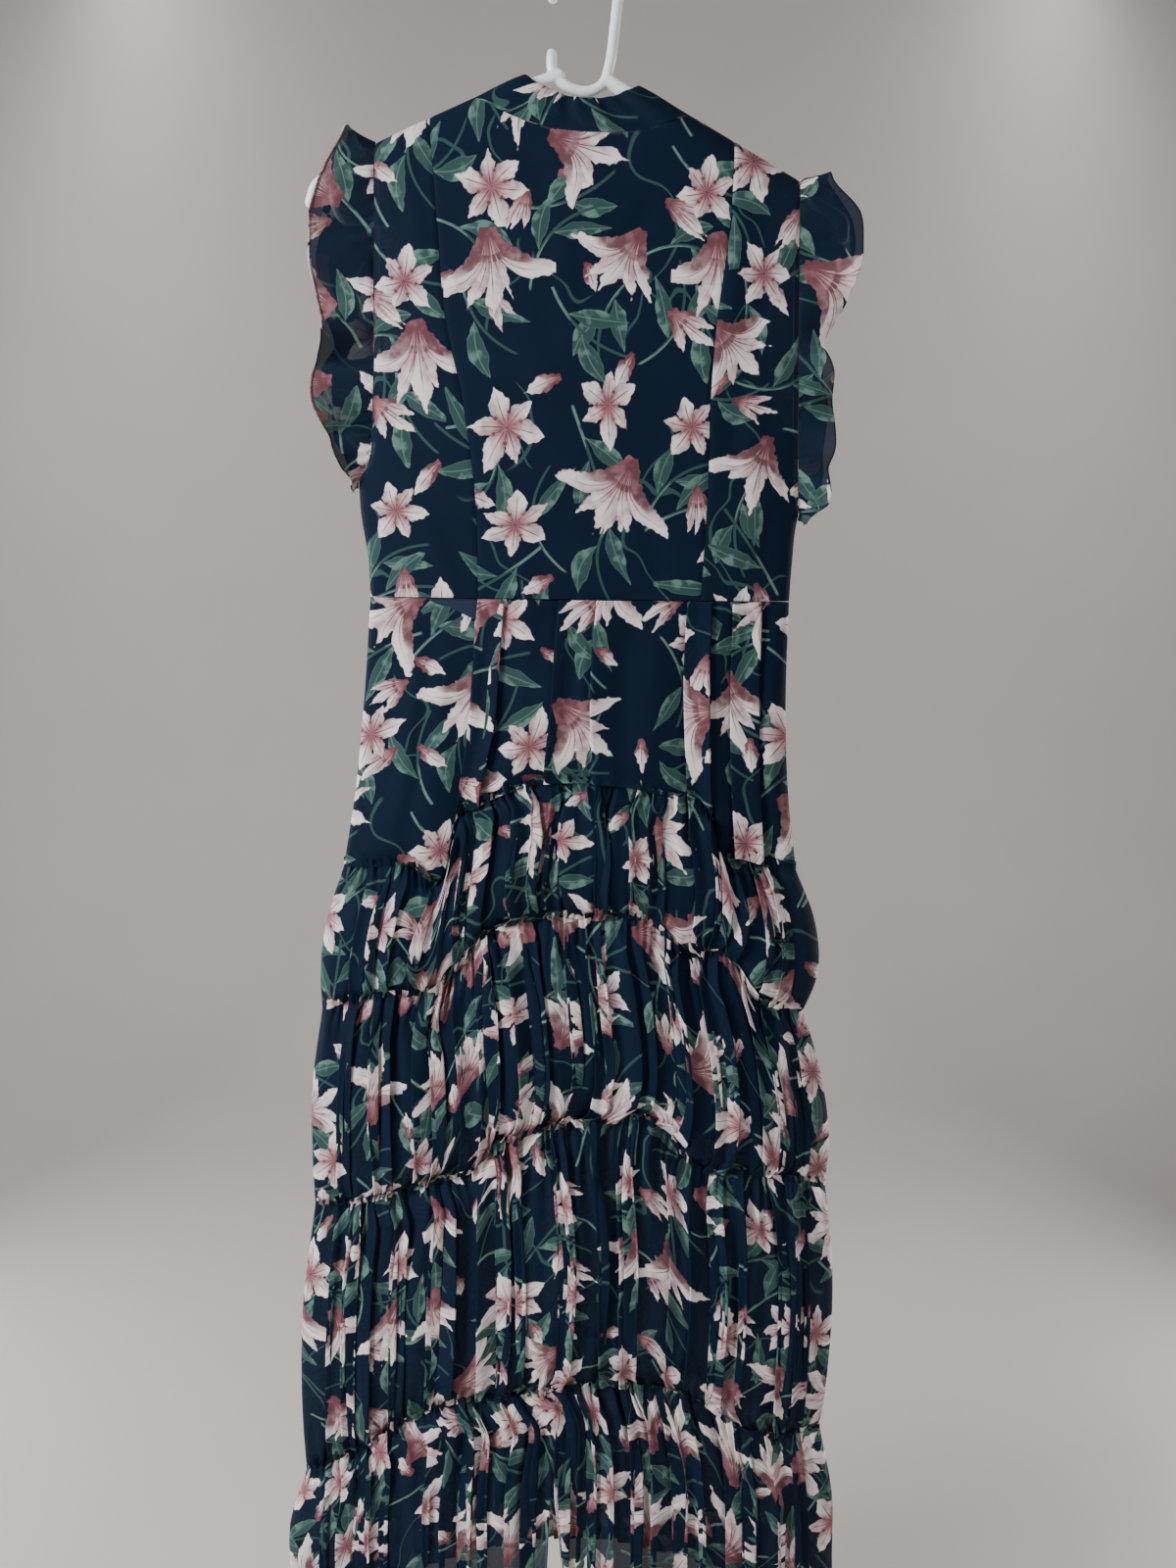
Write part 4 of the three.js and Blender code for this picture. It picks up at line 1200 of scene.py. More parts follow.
@dataclass(frozen=True)
class Wire:
    """A number in a node tree. Arithmetic on wires adds the Math nodes that work it out.

    Attributes:
        tree: the node tree.
        socket: the output that carries the number.
    """

    tree: bpy.types.NodeTree
    socket: bpy.types.NodeSocket

    def apply(self, operation: str, *others: "Wire | float") -> "Wire":
        """The result of a Math node on this wire and others."""
        node = self.tree.nodes.new("ShaderNodeMath")
        node.operation = operation
        for slot, value in zip(node.inputs, (self, *others)):
            plug(self.tree, value, slot)
        return Wire(self.tree, node.outputs[0])

    def __add__(self, other: "Wire | float") -> "Wire":
        """Sum."""
        return self.apply("ADD", other)

    def __sub__(self, other: "Wire | float") -> "Wire":
        """Difference."""
        return self.apply("SUBTRACT", other)

    def __mul__(self, other: "Wire | float") -> "Wire":
        """Product."""
        return self.apply("MULTIPLY", other)

    def __truediv__(self, other: "Wire | float") -> "Wire":
        """Quotient."""
        return self.apply("DIVIDE", other)

    def less_from(self, whole: float) -> "Wire":
        """What is left of a whole when this is taken away."""
        return self.apply("MULTIPLY_ADD", -1.0, whole)

    def scaled(self, by: "Wire | float", plus: "Wire | float") -> "Wire":
        """This times one value plus another."""
        return self.apply("MULTIPLY_ADD", by, plus)

    def size(self) -> "Wire":
        """Distance from nought."""
        return self.apply("ABSOLUTE")

    def ramp(self, low: float, high: float, start: float = 0.0, end: float = 1.0) -> "Wire":
        """A smooth step from start at low to end at high."""
        node = self.tree.nodes.new("ShaderNodeMapRange")
        node.interpolation_type = "SMOOTHSTEP"
        if low > high:
            low, high, start, end = high, low, end, start
        for slot, value in zip(node.inputs, (self, low, high, start, end)):
            plug(self.tree, value, slot)
        return Wire(self.tree, node.outputs[0])

    def curve(self, points: Sequence[Pair]) -> "Wire":
        """The value of a drawn curve at this number."""
        node = self.tree.nodes.new("ShaderNodeFloatCurve")
        plug(self.tree, self, node.inputs["Value"])
        line = node.mapping.curves[0]
        line.points[0].location = points[0]
        line.points[1].location = points[-1]
        for point in points[1:-1]:
            line.points.new(*point)
        node.mapping.update()
        return Wire(self.tree, node.outputs[0])


def plug(tree: bpy.types.NodeTree, value: "Wire | float", slot: bpy.types.NodeSocket) -> None:
    """Links a wire to an input, or writes a plain number into it."""
    if isinstance(value, Wire):
        tree.links.new(value.socket, slot)
    else:
        slot.default_value = value


@dataclass(frozen=True)
class Spot:
    """A place about a motif's own middle, and three random numbers of that motif."""

    x: Wire
    y: Wire
    chance: tuple[Wire, Wire, Wire]


@dataclass(frozen=True)
class BloomShape:
    """Shape of a kind of flower.

    Attributes:
        star_size, trumpet_size: length of the petals of the open star and of the side view.
        star_step, trumpet_step: angle from one petal to the next, in degrees.
        petals: petals to each side of the middle one, for the star and the side view.
        width: half width of a petal as a share of its length, for the star and the side view.
        spread: how far the side view's petals are spread, along their length.
        petal: outline of a petal along its length.
    """

    star_size: float
    trumpet_size: float
    star_step: float
    trumpet_step: float
    petals: Pair
    width: Pair
    spread: tuple[Pair, ...] = ((0, 0.30), (0.3, 0.34), (0.55, 0.62), (0.8, 0.95), (1, 1))
    petal: tuple[Pair, ...] = ((0, 0.34), (0.2, 0.66), (0.48, 1), (0.74, 0.7), (0.92, 0.2), (1, 0))


@dataclass(frozen=True)
class LilyPrint:
    """An all over print of lilies, bells, buds, leaves and stems, drawn on the flat cloth.

    The drawing is made of motifs about seeds that are scattered over the cloth. Colours are screen colours.
    """

    ground: Triple = (3, 19, 36)
    cream: Triple = (222, 212, 208)
    blush: Triple = (192, 164, 164)
    mauve: Triple = (142, 118, 126)
    rose: Triple = (152, 98, 106)
    ink: Triple = (84, 44, 52)
    sage: Triple = (44, 70, 68)
    mint: Triple = (98, 127, 116)
    bloom: BloomShape = BloomShape(38, 76, 60, 25, (3, 2), (0.25, 0.16))
    small: BloomShape = BloomShape(
        46, 33, 20, 60, (1, 0), (0.15, 0.20), spread=((0, 0.5), (0.5, 0.6), (0.8, 0.9), (1, 1))
    )

    def noise(self, tree: bpy.types.NodeTree, where: bpy.types.NodeSocket, scale: float, detail: float) -> Wire:
        """Soft noise on the cloth."""
        node = tree.nodes.new("ShaderNodeTexNoise")
        node.noise_dimensions = "2D"
        tree.links.new(where, node.inputs["Vector"])
        node.inputs["Scale"].default_value = scale
        node.inputs["Detail"].default_value = detail
        return Wire(tree, node.outputs[0])

    def scatter(
        self, tree: bpy.types.NodeTree, where: bpy.types.NodeSocket, cell: float, loose: float,
        offset: Pair, heading: float, sway: float,
    ) -> Spot:
        """Places about the nearest of many scattered seeds, turned to that motif's own heading.

        Args:
            tree: the node tree.
            where: the place on the cloth, in millimetres.
            cell: mean distance between seeds.
            loose: how uneven they lie, 0 to 1.
            offset: moves all seeds.
            heading: mean heading in degrees.
            sway: full range of headings in degrees.

        Returns:
            The place about the seed, and the motif's random numbers.
        """
        moved = tree.nodes.new("ShaderNodeVectorMath")
        moved.operation = "ADD"
        tree.links.new(where, moved.inputs[0])
        moved.inputs[1].default_value = (*offset, 0)
        seeds = tree.nodes.new("ShaderNodeTexVoronoi")
        seeds.voronoi_dimensions = "2D"
        seeds.feature = "F1"
        seeds.inputs["Scale"].default_value = 1 / cell
        seeds.inputs["Randomness"].default_value = loose
        tree.links.new(moved.outputs[0], seeds.inputs["Vector"])
        local = tree.nodes.new("ShaderNodeVectorMath")
        local.operation = "SUBTRACT"
        tree.links.new(moved.outputs[0], local.inputs[0])
        tree.links.new(seeds.outputs["Position"], local.inputs[1])
        chances = tree.nodes.new("ShaderNodeSeparateColor")
        tree.links.new(seeds.outputs["Color"], chances.inputs[0])
        chance = tuple(Wire(tree, chances.outputs[i]) for i in range(3))
        turn = chance[0].scaled(math.radians(sway), math.radians(heading - sway / 2))
        rotate = tree.nodes.new("ShaderNodeVectorRotate")
        rotate.rotation_type = "Z_AXIS"
        tree.links.new(local.outputs[0], rotate.inputs["Vector"])
        plug(tree, turn, rotate.inputs["Angle"])
        split = tree.nodes.new("ShaderNodeSeparateXYZ")
        tree.links.new(rotate.outputs[0], split.inputs[0])
        return Spot(Wire(tree, split.outputs[0]), Wire(tree, split.outputs[1]), chance)

    def paint(
        self, tree: bpy.types.NodeTree, under: bpy.types.NodeSocket | tuple, over: bpy.types.NodeSocket | tuple,
        share: Wire,
    ) -> bpy.types.NodeSocket:
        """One colour laid over another."""
        node = tree.nodes.new("ShaderNodeMix")
        node.data_type = "RGBA"
        plug(tree, share, node.inputs["Factor"])
        for value, slot in ((under, node.inputs["A"]), (over, node.inputs["B"])):
            if isinstance(value, tuple):
                slot.default_value = linear(*value)
            else:
                tree.links.new(value, slot)
        return node.outputs["Result"]

    def draw_bloom(
        self, tree: bpy.types.NodeTree, spot: Spot, shape: BloomShape, side_view: Wire, wash: Wire, rough: Wire
    ) -> tuple[bpy.types.NodeSocket, Wire]:
        """Draws one lattice of flowers, each an open star or a side view.

        Args:
            tree: the node tree.
            spot: the place about the flower.
            shape: the flower's shape.
            side_view: 1 for a flower seen from the side, 0 for an open star.
            wash: uneven tone of the colours.
            rough: unevenness of the outline.

        Returns:
            The flower's colour, and 1 inside it and 0 outside.
        """
        tilted = spot.y * (spot.chance[1].ramp(0.0, 0.5, 1.0, 1.32) * side_view.less_from(1.0) + side_view)
        reach = (spot.x * spot.x + tilted * tilted).apply("SQRT")
        turn = tilted.apply("ARCTAN2", spot.x)
        size = side_view.scaled(shape.trumpet_size - shape.star_size, shape.star_size)
        size = size * spot.chance[2].scaled(0.24, 0.86)
        far = reach / size
        step = side_view.scaled(
            math.radians(shape.trumpet_step - shape.star_step), math.radians(shape.star_step)
        )
        step = step * (side_view * (far.curve(shape.spread) - 1.0) + 1.0)
        most = side_view.scaled(shape.petals[1] - shape.petals[0], shape.petals[0])
        petal = (turn / step).apply("ROUND").apply("MINIMUM", most).apply("MAXIMUM", most * -1.0)
        angle = turn - petal * step
        same = petal + (petal.apply("LESS_THAN", -2.5) * 6.0)
        odd = same.apply("PINGPONG", 1.0)
        dice = tree.nodes.new("ShaderNodeTexWhiteNoise")
        dice.noise_dimensions = "1D"
        plug(tree, spot.chance[1].scaled(91.7, same), dice.inputs["W"])
        luck = Wire(tree, dice.outputs["Value"])
        long = size * odd.scaled(-0.12, 1.0) * luck.scaled(-0.24, 1.06)
        along = reach * angle.apply("COSINE") / long
        side = reach * angle.apply("SINE") + (luck - 0.5) * (along * along) * size * 0.34
        wide = side_view.scaled(shape.width[1] - shape.width[0], shape.width[0])
        half = along.curve(shape.petal) * (wide * odd.scaled(-0.22, 1.0)) * size
        lateral = side.size()
        inside = half - lateral
        ruffled = inside + (rough - 0.5) * 5.0
        mask = ruffled.ramp(-0.2, 0.35) * along.apply("GREATER_THAN", 0.0)
        between = (step * 0.5 - angle.size()) * reach
        colour = self.paint(tree, self.cream, self.blush, (wash + odd * 0.25 - along * 0.3).ramp(0.3, 0.75))
        dim = (side / half).ramp(-0.35, 0.75) * along.ramp(1.0, 0.55) * wash.ramp(0.3, 0.7, 0.35, 0.8)
        colour = self.paint(tree, colour, self.mauve, dim)
        throat = (along + (wash - 0.5) * 0.5).ramp(0.56, 0.06)
        colour = self.paint(tree, colour, self.rose, throat * 0.86)
        core = far.ramp(0.30, 0.08) * side_view.less_from(1.0)
        colour = self.paint(tree, colour, self.ink, core * wash.ramp(0.3, 0.7, 0.25, 0.55))
        shade = between.ramp(4.5, 0.0) * along.ramp(0.75, 0.35) * 0.5
        colour = self.paint(tree, colour, self.rose, shade)
        midrib = lateral.ramp(0.75, 0.25) * along.ramp(0.86, 0.6) * along.ramp(0.04, 0.12)
        second = (lateral - half * 0.5).size().ramp(0.55, 0.15) * along.ramp(0.62, 0.4) * 0.6
        edge = ruffled.ramp(0.95, 0.25) * 0.75
        seam = between.ramp(0.55, 0.2) * along.ramp(0.7, 0.5)
        stamen = (far - 0.33).size().ramp(0.055, 0.025) * between.ramp(2.2, 1.2)
        lines = midrib.apply("MAXIMUM", second).apply("MAXIMUM", edge).apply("MAXIMUM", seam)
        lines = lines.apply("MAXIMUM", stamen) * wash.ramp(0.25, 0.6, 0.55, 1.0)
        colour = self.paint(tree, colour, self.ink, lines * 0.88)
        return colour, mask

    def draw_leaves(self, tree: bpy.types.NodeTree, spot: Spot, wash: Wire) -> tuple[bpy.types.NodeSocket, Wire]:
        """Draws one lattice of sprigs: a curved stem with a leaf to each side.

        Args:
            tree: the node tree.
            spot: the place about the sprig.
            wash: uneven tone of the colours.

        Returns:
            The sprig's colour, and 1 inside it and 0 outside.
        """
        bend = spot.chance[1].scaled(0.024, -0.012)
        bent = spot.y - spot.x * spot.x * bend
        stem = bent.size().ramp(1.5, 1.0) * spot.x.size().ramp(46, 43)
        upper = bent.apply("SIGN")
        out = bent.size()
        lean = math.radians(38)
        start = spot.x + upper * 9.0 + 6.0
        along = (start * math.cos(lean) + out * math.sin(lean)) / spot.chance[2].scaled(16.0, 40.0)
        side = out * math.cos(lean) - start * math.sin(lean)
        side = side + along * along * 5.0 - 2.0
        half = along.curve(((0, 0.02), (0.16, 0.45), (0.45, 1), (0.78, 0.55), (1, 0))) * 7.4
        inside = half - side.size() + (wash - 0.5) * 2.5
        leaf = inside.ramp(-0.2, 0.4)
        colour = self.paint(tree, self.sage, self.mint, (wash + side * 0.03).ramp(0.5, 0.78) * 0.8)
        rib = side.size().ramp(0.7, 0.2) * leaf
        edge = inside.ramp(1.1, 0.3) * leaf * 0.5
        colour = self.paint(tree, colour, self.mint, rib.apply("MAXIMUM", edge) * 0.6)
        return colour, leaf.apply("MAXIMUM", stem)

    def draw(self, tree: bpy.types.NodeTree) -> tuple[bpy.types.NodeSocket, Wire, bpy.types.NodeSocket]:
        """Draws the whole print.

        Args:
            tree: the node tree of the finish.

        Returns:
            The colour, how much ink lies on the cloth, and the place on the cloth in millimetres.
        """
        cut = tree.nodes.new("ShaderNodeUVMap")
        cut.uv_map = "Cut"
        place = tree.nodes.new("ShaderNodeVectorMath")
        place.operation = "SCALE"
        place.inputs["Scale"].default_value = 1 / MM
        tree.links.new(cut.outputs[0], place.inputs[0])
        where = place.outputs[0]
        wash = self.noise(tree, where, 0.09, 2.0)
        rough = self.noise(tree, where, 0.17, 1.0)
        broad = self.noise(tree, where, 0.018, 1.0)
        colour = self.paint(tree, self.ground, (5, 25, 45), broad)
        split = tree.nodes.new("ShaderNodeSeparateXYZ")
        tree.links.new(where, split.inputs[0])
        u, v = Wire(tree, split.outputs[0]), Wire(tree, split.outputs[1])
        sway = (v * 0.042 + broad * 3.0).apply("SINE") * 21.0
        first = ((u + sway) / 118.0).apply("FRACT") - 0.5
        lean = (u * 0.036 + broad * 4.0).apply("SINE") * 24.0
        second = ((v * 0.8 + u * 0.45 + lean) / 131.0).apply("FRACT") - 0.5
        vine = (first.size() * 118.0).ramp(1.7, 1.1).apply("MAXIMUM", (second.size() * 118.0).ramp(1.5, 0.9))
        gap = self.noise(tree, where, 0.011, 0.0).ramp(0.42, 0.47)
        vine = vine * gap
        colour = self.paint(tree, colour, self.sage, vine)
        ink = vine
        for cell, offset, heading in ((96.0, (17, 41), 70.0), (113.0, (511, 230), -60.0)):
            spot = self.scatter(tree, where, cell, 0.55, offset, heading, 220)
            leaves, mask = self.draw_leaves(tree, spot, wash)
            colour = self.paint(tree, colour, leaves, mask)
            ink = ink.apply("MAXIMUM", mask)
        spot = self.scatter(tree, where, 82.0, 0.6, (903, 377), 90, 150)
        small = Spot(spot.x + 20.0, spot.y, spot.chance)
        flower, mask = self.draw_bloom(tree, small, self.small, spot.chance[1].apply("GREATER_THAN", 0.5), wash, rough)
        colour = self.paint(tree, colour, flower, mask)
        ink = ink.apply("MAXIMUM", mask)
        spot = self.scatter(tree, where, 95.0, 0.5, (0, 0), 90, 170)
        side_view = spot.chance[1].apply("GREATER_THAN", 0.52)
        large = Spot(spot.x + side_view * 34.0, spot.y, spot.chance)
        flower, mask = self.draw_bloom(tree, large, self.bloom, side_view, wash, rough)
        colour = self.paint(tree, colour, flower, mask)
        return colour, ink.apply("MAXIMUM", mask), where


def new_finish(name: str) -> tuple[bpy.types.Material, bpy.types.ShaderNodeBsdfPrincipled]:
    """A node material with one Principled surface.

    Args:
        name: the finish's name.

    Returns:
        The material and its surface node.
    """
    material = bpy.data.materials.new(name)
    material.use_nodes = True
    return material, material.node_tree.nodes["Principled BSDF"]


def add_bump(
    tree: bpy.types.NodeTree, surface: bpy.types.Node, height: Wire, distance: float, strength: float
) -> None:
    """Gives a surface the relief of a height."""
    bump = tree.nodes.new("ShaderNodeBump")
    bump.inputs["Strength"].default_value = strength
    bump.inputs["Distance"].default_value = distance
    plug(tree, height, bump.inputs["Height"])
    tree.links.new(bump.outputs[0], surface.inputs["Normal"])


@dataclass(frozen=True)
class PrintedChiffon:
    """Sheer crepe chiffon with the lily print.

    Attributes:
        print: the drawing.
        bare: how much the plain ground hides.
        inked: how much the printed motifs hide.
    """

    print: LilyPrint = LilyPrint()
    bare: float = 0.935
    inked: float = 0.96
    rough: float = 0.82

    def material(self) -> bpy.types.Material:
        """Makes the finish."""
        material, surface = new_finish("printed_chiffon")
        tree = material.node_tree
        colour, ink, where = self.print.draw(tree)
        tree.links.new(colour, surface.inputs["Base Color"])
        crepe = self.print.noise(tree, where, 1.6, 1.0)
        plug(tree, ink.scaled(self.inked - self.bare, self.bare) + (crepe - 0.5) * 0.10, surface.inputs["Alpha"])
        plug(tree, crepe.scaled(0.12, self.rough - 0.06), surface.inputs["Roughness"])
        surface.inputs["Specular IOR Level"].default_value = 0.12
        add_bump(tree, surface, crepe, 0.0004, 0.35)
        material.use_transparent_shadow = False
        return material


@dataclass(frozen=True)
class LiningCloth:
    """Opaque navy lining with a fine woven grain and a faint sheen."""

    colour: Triple = (4, 20, 38)
    thread: float = 0.9

    def material(self) -> bpy.types.Material:
        """Makes the finish."""
        material, surface = new_finish("navy_lining")
        tree = material.node_tree
        cut = tree.nodes.new("ShaderNodeUVMap")
        cut.uv_map = "Cut"
        split = tree.nodes.new("ShaderNodeSeparateXYZ")
        tree.links.new(cut.outputs[0], split.inputs[0])
        pace = 2 * math.pi / (self.thread * MM)
        weft = (Wire(tree, split.outputs[0]) * pace).apply("SINE")
        warp = (Wire(tree, split.outputs[1]) * pace).apply("SINE")
        grain = (weft * warp).scaled(0.5, 0.5)
        cloud = tree.nodes.new("ShaderNodeTexNoise")
        tree.links.new(cut.outputs[0], cloud.inputs["Vector"])
        cloud.inputs["Scale"].default_value = 14
        tone = Wire(tree, cloud.outputs[0])
        ramp = tree.nodes.new("ShaderNodeMix")
        ramp.data_type = "RGBA"
        plug(tree, tone * grain.scaled(0.3, 0.7), ramp.inputs["Factor"])
        ramp.inputs["A"].default_value = linear(*self.colour)
        ramp.inputs["B"].default_value = linear(*(c * 1.7 for c in self.colour))
        tree.links.new(ramp.outputs["Result"], surface.inputs["Base Color"])
        plug(tree, tone.scaled(0.2, 0.5), surface.inputs["Roughness"])
        surface.inputs["Sheen Weight"].default_value = 0.08
        surface.inputs["Specular IOR Level"].default_value = 0.25
        add_bump(tree, surface, grain, 0.0002, 0.3)
        return material


@dataclass(frozen=True)
class HangerPlastic:
    """Glossy white moulded plastic with a parting line and faint flow marks."""

    colour: Triple = (236, 239, 243)
    parting: float = 0.35

    def material(self) -> bpy.types.Material:
        """Makes the finish."""
        material, surface = new_finish("white_plastic")
        tree = material.node_tree
        spot = tree.nodes.new("ShaderNodeTexCoord")
        split = tree.nodes.new("ShaderNodeSeparateXYZ")
        tree.links.new(spot.outputs["Object"], split.inputs[0])
        flow = tree.nodes.new("ShaderNodeTexNoise")
        tree.links.new(spot.outputs["Object"], flow.inputs["Vector"])
        flow.inputs["Scale"].default_value = 38
        flow.inputs["Detail"].default_value = 3
        marks = Wire(tree, flow.outputs[0])
        tint = tree.nodes.new("ShaderNodeMix")
        tint.data_type = "RGBA"
        plug(tree, marks.ramp(0.3, 0.8), tint.inputs["Factor"])
        tint.inputs["A"].default_value = linear(*self.colour)
        tint.inputs["B"].default_value = linear(*(c * 0.94 for c in self.colour))
        tree.links.new(tint.outputs["Result"], surface.inputs["Base Color"])
        plug(tree, marks.scaled(0.16, 0.2), surface.inputs["Roughness"])
        ridge = Wire(tree, split.outputs[1]).size().ramp(self.parting * MM, 0.1 * MM)
        add_bump(tree, surface, ridge + marks * 0.3, 0.0002, 0.5)
        surface.inputs["Coat Weight"].default_value = 0.3
        surface.inputs["Coat Roughness"].default_value = 0.15
        return material


@dataclass(frozen=True)
class StudioPaper:
    """Matt pale grey paper for the floor and the backdrop."""

    colour: Triple = (186, 181, 177)

    def material(self) -> bpy.types.Material:
        """Makes the finish."""
        material, surface = new_finish("studio_paper")
        tree = material.node_tree
        spot = tree.nodes.new("ShaderNodeTexCoord")
        grain = tree.nodes.new("ShaderNodeTexNoise")
        tree.links.new(spot.outputs["Object"], grain.inputs["Vector"])
        grain.inputs["Scale"].default_value = 3
        shade = tree.nodes.new("ShaderNodeMix")
        shade.data_type = "RGBA"
        plug(tree, Wire(tree, grain.outputs[0]), shade.inputs["Factor"])
        shade.inputs["A"].default_value = linear(*self.colour)
        shade.inputs["B"].default_value = linear(*(c * 0.97 for c in self.colour))
        tree.links.new(shade.outputs["Result"], surface.inputs["Base Color"])
        surface.inputs["Roughness"].default_value = 0.9
        surface.inputs["Specular IOR Level"].default_value = 0.2
        return material


# Studio


@dataclass(frozen=True)
class Lamp:
    """A soft area light.

    Attributes:
        name: its name.
        place: where it stands, in metres.
        aim: what it points at.
        size: width and height.
        power: watts.
        colour: its colour.
    """

    name: str
    place: Triple
    aim: Triple
    size: Pair
    power: float
    colour: Triple = (1.0, 1.0, 1.0)

    def build(self) -> None:
        """Adds the light."""
        data = bpy.data.lights.new(self.name, "AREA")
        data.shape = "RECTANGLE"
        data.size, data.size_y = self.size
        data.energy = self.power
        data.color = self.colour
        lamp = bpy.data.objects.new(self.name, data)
        lamp.location = self.place
        lamp.rotation_euler = (Vector(self.aim) - Vector(self.place)).to_track_quat("-Z", "Y").to_euler()
        bpy.context.scene.collection.objects.link(lamp)


def both_sides(name: str, place: Triple, aim: Triple, *rest: object) -> tuple[Lamp, Lamp]:
    """A lamp and its mirror image, given as the right one."""
    mirrored = ((-x, y, z) for x, y, z in (place, aim))
    return Lamp(name + "_left", *mirrored, *rest), Lamp(name + "_right", place, aim, *rest)


@dataclass
class Studio:
    """Camera, lights, and a pale seamless floor and backdrop.

    Attributes:
        eye: the camera's place in millimetres.
        pitch, roll: its tilt down and its roll, in degrees.
        lens, sensor: focal length, and the width of the sensor that it is given for.
        floor_z, wall_y, cove: the backdrop's height, distance and rounding in metres.
        near, high, width: its near end, the wall's height above the cove and its width, in metres.
        horizon, zenith: colours of the soft light all round, low down and overhead.
        horizon_at, zenith_at: upward parts of the view's direction at which those are reached.
        lamps: the area lights.
    """

    eye: Triple = (10.73, -1055, -487.13)
    pitch: float = 10.557
    roll: float = 0.685
    lens: float = 27.0
    sensor: float = 36
    floor_z: float = -1.86
    wall_y: float = 2.7
    cove: float = 1.0
    near: float = -14.0
    high: float = 3.0
    width: float = 30.0
    horizon: Triple = (0.144, 0.131, 0.121)
    zenith: Triple = (0.319, 0.304, 0.293)
    horizon_at: float = -0.1
    zenith_at: float = 0.7
    lamps: tuple[Lamp, ...] = (
        Lamp("key", (-2.1, -1.5, 0.2), (0, 0, -0.8), (0.9, 1.4), 122, (0.95, 0.98, 1.0)),
        Lamp("fill", (1.9, -1.9, -0.7), (0, 0, -1.0), (1.2, 2.0), 20, (0.95, 0.98, 1.0)),
        *both_sides("strip", (1.5, 0.7, -0.7), (0.0, 0.0, -0.8), (0.25, 2.0), 24, (1.0, 0.99, 0.97)),
        *both_sides("wall", (1.6, 1.9, 0.2), (1.2, 2.7, -0.4), (0.3, 2.6), 6, (1.0, 0.98, 0.95)),
    )

    def camera(self) -> None:
        """Puts the camera where the photograph was taken from."""
        tilt, lean = math.radians(self.pitch), math.radians(self.roll)
        ahead = Vector((0, math.cos(tilt), -math.sin(tilt)))
        level_up, level_right = Vector((0, math.sin(tilt), math.cos(tilt))), Vector((1, 0, 0))
        up = math.cos(lean) * level_up - math.sin(lean) * level_right
        right = math.cos(lean) * level_right + math.sin(lean) * level_up
        data = bpy.data.cameras.new("camera")
        data.lens = self.lens
        data.sensor_width = self.sensor
        camera = bpy.data.objects.new("camera", data)
        turned = Matrix((right, up, -ahead)).transposed().to_4x4()
        camera.matrix_world = Matrix.Translation(Vector(self.eye) * MM) @ turned
        bpy.context.scene.collection.objects.link(camera)
        bpy.context.scene.camera = camera

    def backdrop(self, paper: bpy.types.Material) -> None:
        """Makes the floor, the cove and the wall as one seamless sheet."""
        sheet = bmesh.new()
        bmesh.ops.create_grid(sheet, x_segments=8, y_segments=64, size=0.5)
        level = self.wall_y - self.cove - self.near
        bent = self.cove * math.pi / 2
        total = level + bent + self.high
        for vert in sheet.verts:
            run = (vert.co.y + 0.5) * total
            vert.co.x *= self.width
            if run < level:
                vert.co.y, vert.co.z = self.near + run, self.floor_z
            elif run < level + bent:
                turn = (run - level) / self.cove
                vert.co.y = self.wall_y - self.cove + self.cove * math.sin(turn)
                vert.co.z = self.floor_z + self.cove * (1 - math.cos(turn))
            else:
                vert.co.y, vert.co.z = self.wall_y, self.floor_z + self.cove + run - level - bent
        mesh = bpy.data.meshes.new("backdrop")
        sheet.to_mesh(mesh)
        sheet.free()
        mesh.shade_smooth()
        mesh.materials.append(paper)
        wall = bpy.data.objects.new("backdrop", mesh)
        bpy.context.scene.collection.objects.link(wall)

    def sky(self) -> None:
        """Makes the soft light all round, which grows from the horizon up."""
        world = bpy.data.worlds.new("studio")
        world.use_nodes = True
        tree = world.node_tree
        split = tree.nodes.new("ShaderNodeSeparateXYZ")
        tree.links.new(tree.nodes.new("ShaderNodeTexCoord").outputs["Generated"], split.inputs[0])
        glow = tree.nodes.new("ShaderNodeMix")
        glow.data_type = "RGBA"
        plug(tree, Wire(tree, split.outputs[2]).ramp(self.horizon_at, self.zenith_at), glow.inputs["Factor"])
        glow.inputs["A"].default_value = (*self.horizon, 1)
        glow.inputs["B"].default_value = (*self.zenith, 1)
        tree.links.new(glow.outputs["Result"], tree.nodes["Background"].inputs["Color"])
        bpy.context.scene.world = world

    def build(self) -> None:
        """Builds camera, lights and backdrop."""
        self.camera()
        for lamp in self.lamps:
            lamp.build()
        self.sky()
        self.backdrop(StudioPaper().material())


def ruffles() -> list[Ruffle]:
    """The two ruffles, with the outline of each as it hangs."""
    return [
        Ruffle(
            right=False,
            underarm=-424,
            crest=(-194, -133),
            edge=Run(
                (-149, -178, -205, -230, -253, -275, -288, -300, -314, -330, -345, -370, -393, -418, -428),
                (-207, -216, -224, -226, -224, -220, -215, -214, -222, -227, -226, -217, -208, -199, -197),
            ),
            back_out=Run((-150, -176, -206, -240, -270, -296, -326, -360, -396), (11, 22, 14, 26, 13, 27, 14, 24, 14)),
            front_out=Run((-150, -180, -220, -262, -300, -340, -380, -410), (10, 21, 13, 24, 12, 25, 14, 12)),
            shift=(120, -470),
        ),
        Ruffle(
            right=True,
            underarm=-447,
            crest=(204, -165),
            edge=Run(
                (-176, -190, -203, -228, -256, -282, -299, -317, -340, -361, -385, -410, -432, -447),
                (213, 226, 231, 232, 226, 215, 206, 209, 215, 216, 215, 213, 215, 204),
            ),
            back_out=Run((-176, -196, -222, -254, -284, -318, -352, -388, -424), (11, 22, 13, 26, 12, 24, 12, 23, 14)),
            front_out=Run((-176, -204, -240, -280, -320, -362, -400, -432), (10, 21, 13, 24, 12, 24, 14, 12)),
            shift=(860, -300),
        ),
    ]


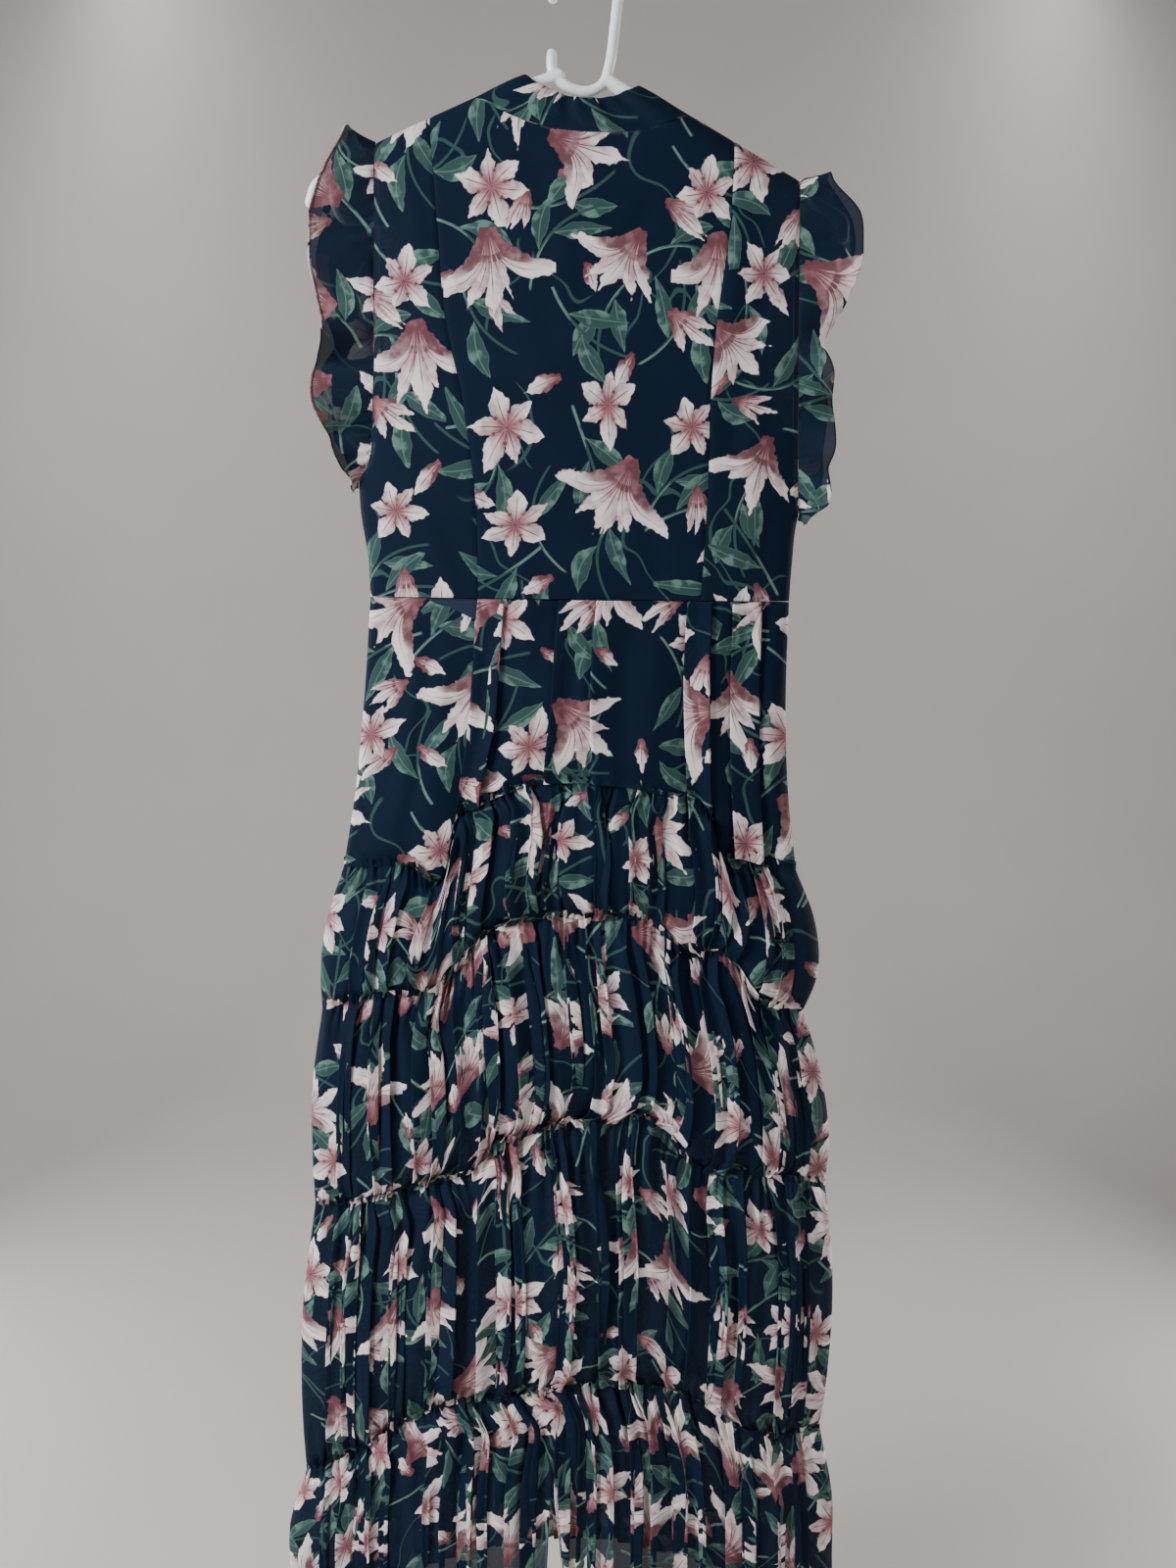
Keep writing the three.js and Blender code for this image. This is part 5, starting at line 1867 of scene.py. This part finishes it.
def main() -> None:
    """Builds the studio and every piece of the dress."""
    logging.basicConfig(level=logging.INFO, format="%(message)s")
    Studio().build()
    chiffon = PrintedChiffon().material()
    lining = LiningCloth().material()
    Hanger().build(HangerPlastic().material())
    Slip().build(lining)
    Lining().build(lining)
    Bodice().build(chiffon)
    Collar().build(chiffon)
    for ruffle in ruffles():
        ruffle.build(chiffon)
    Skirt().build(chiffon)


if __name__ == "__main__":
    main()
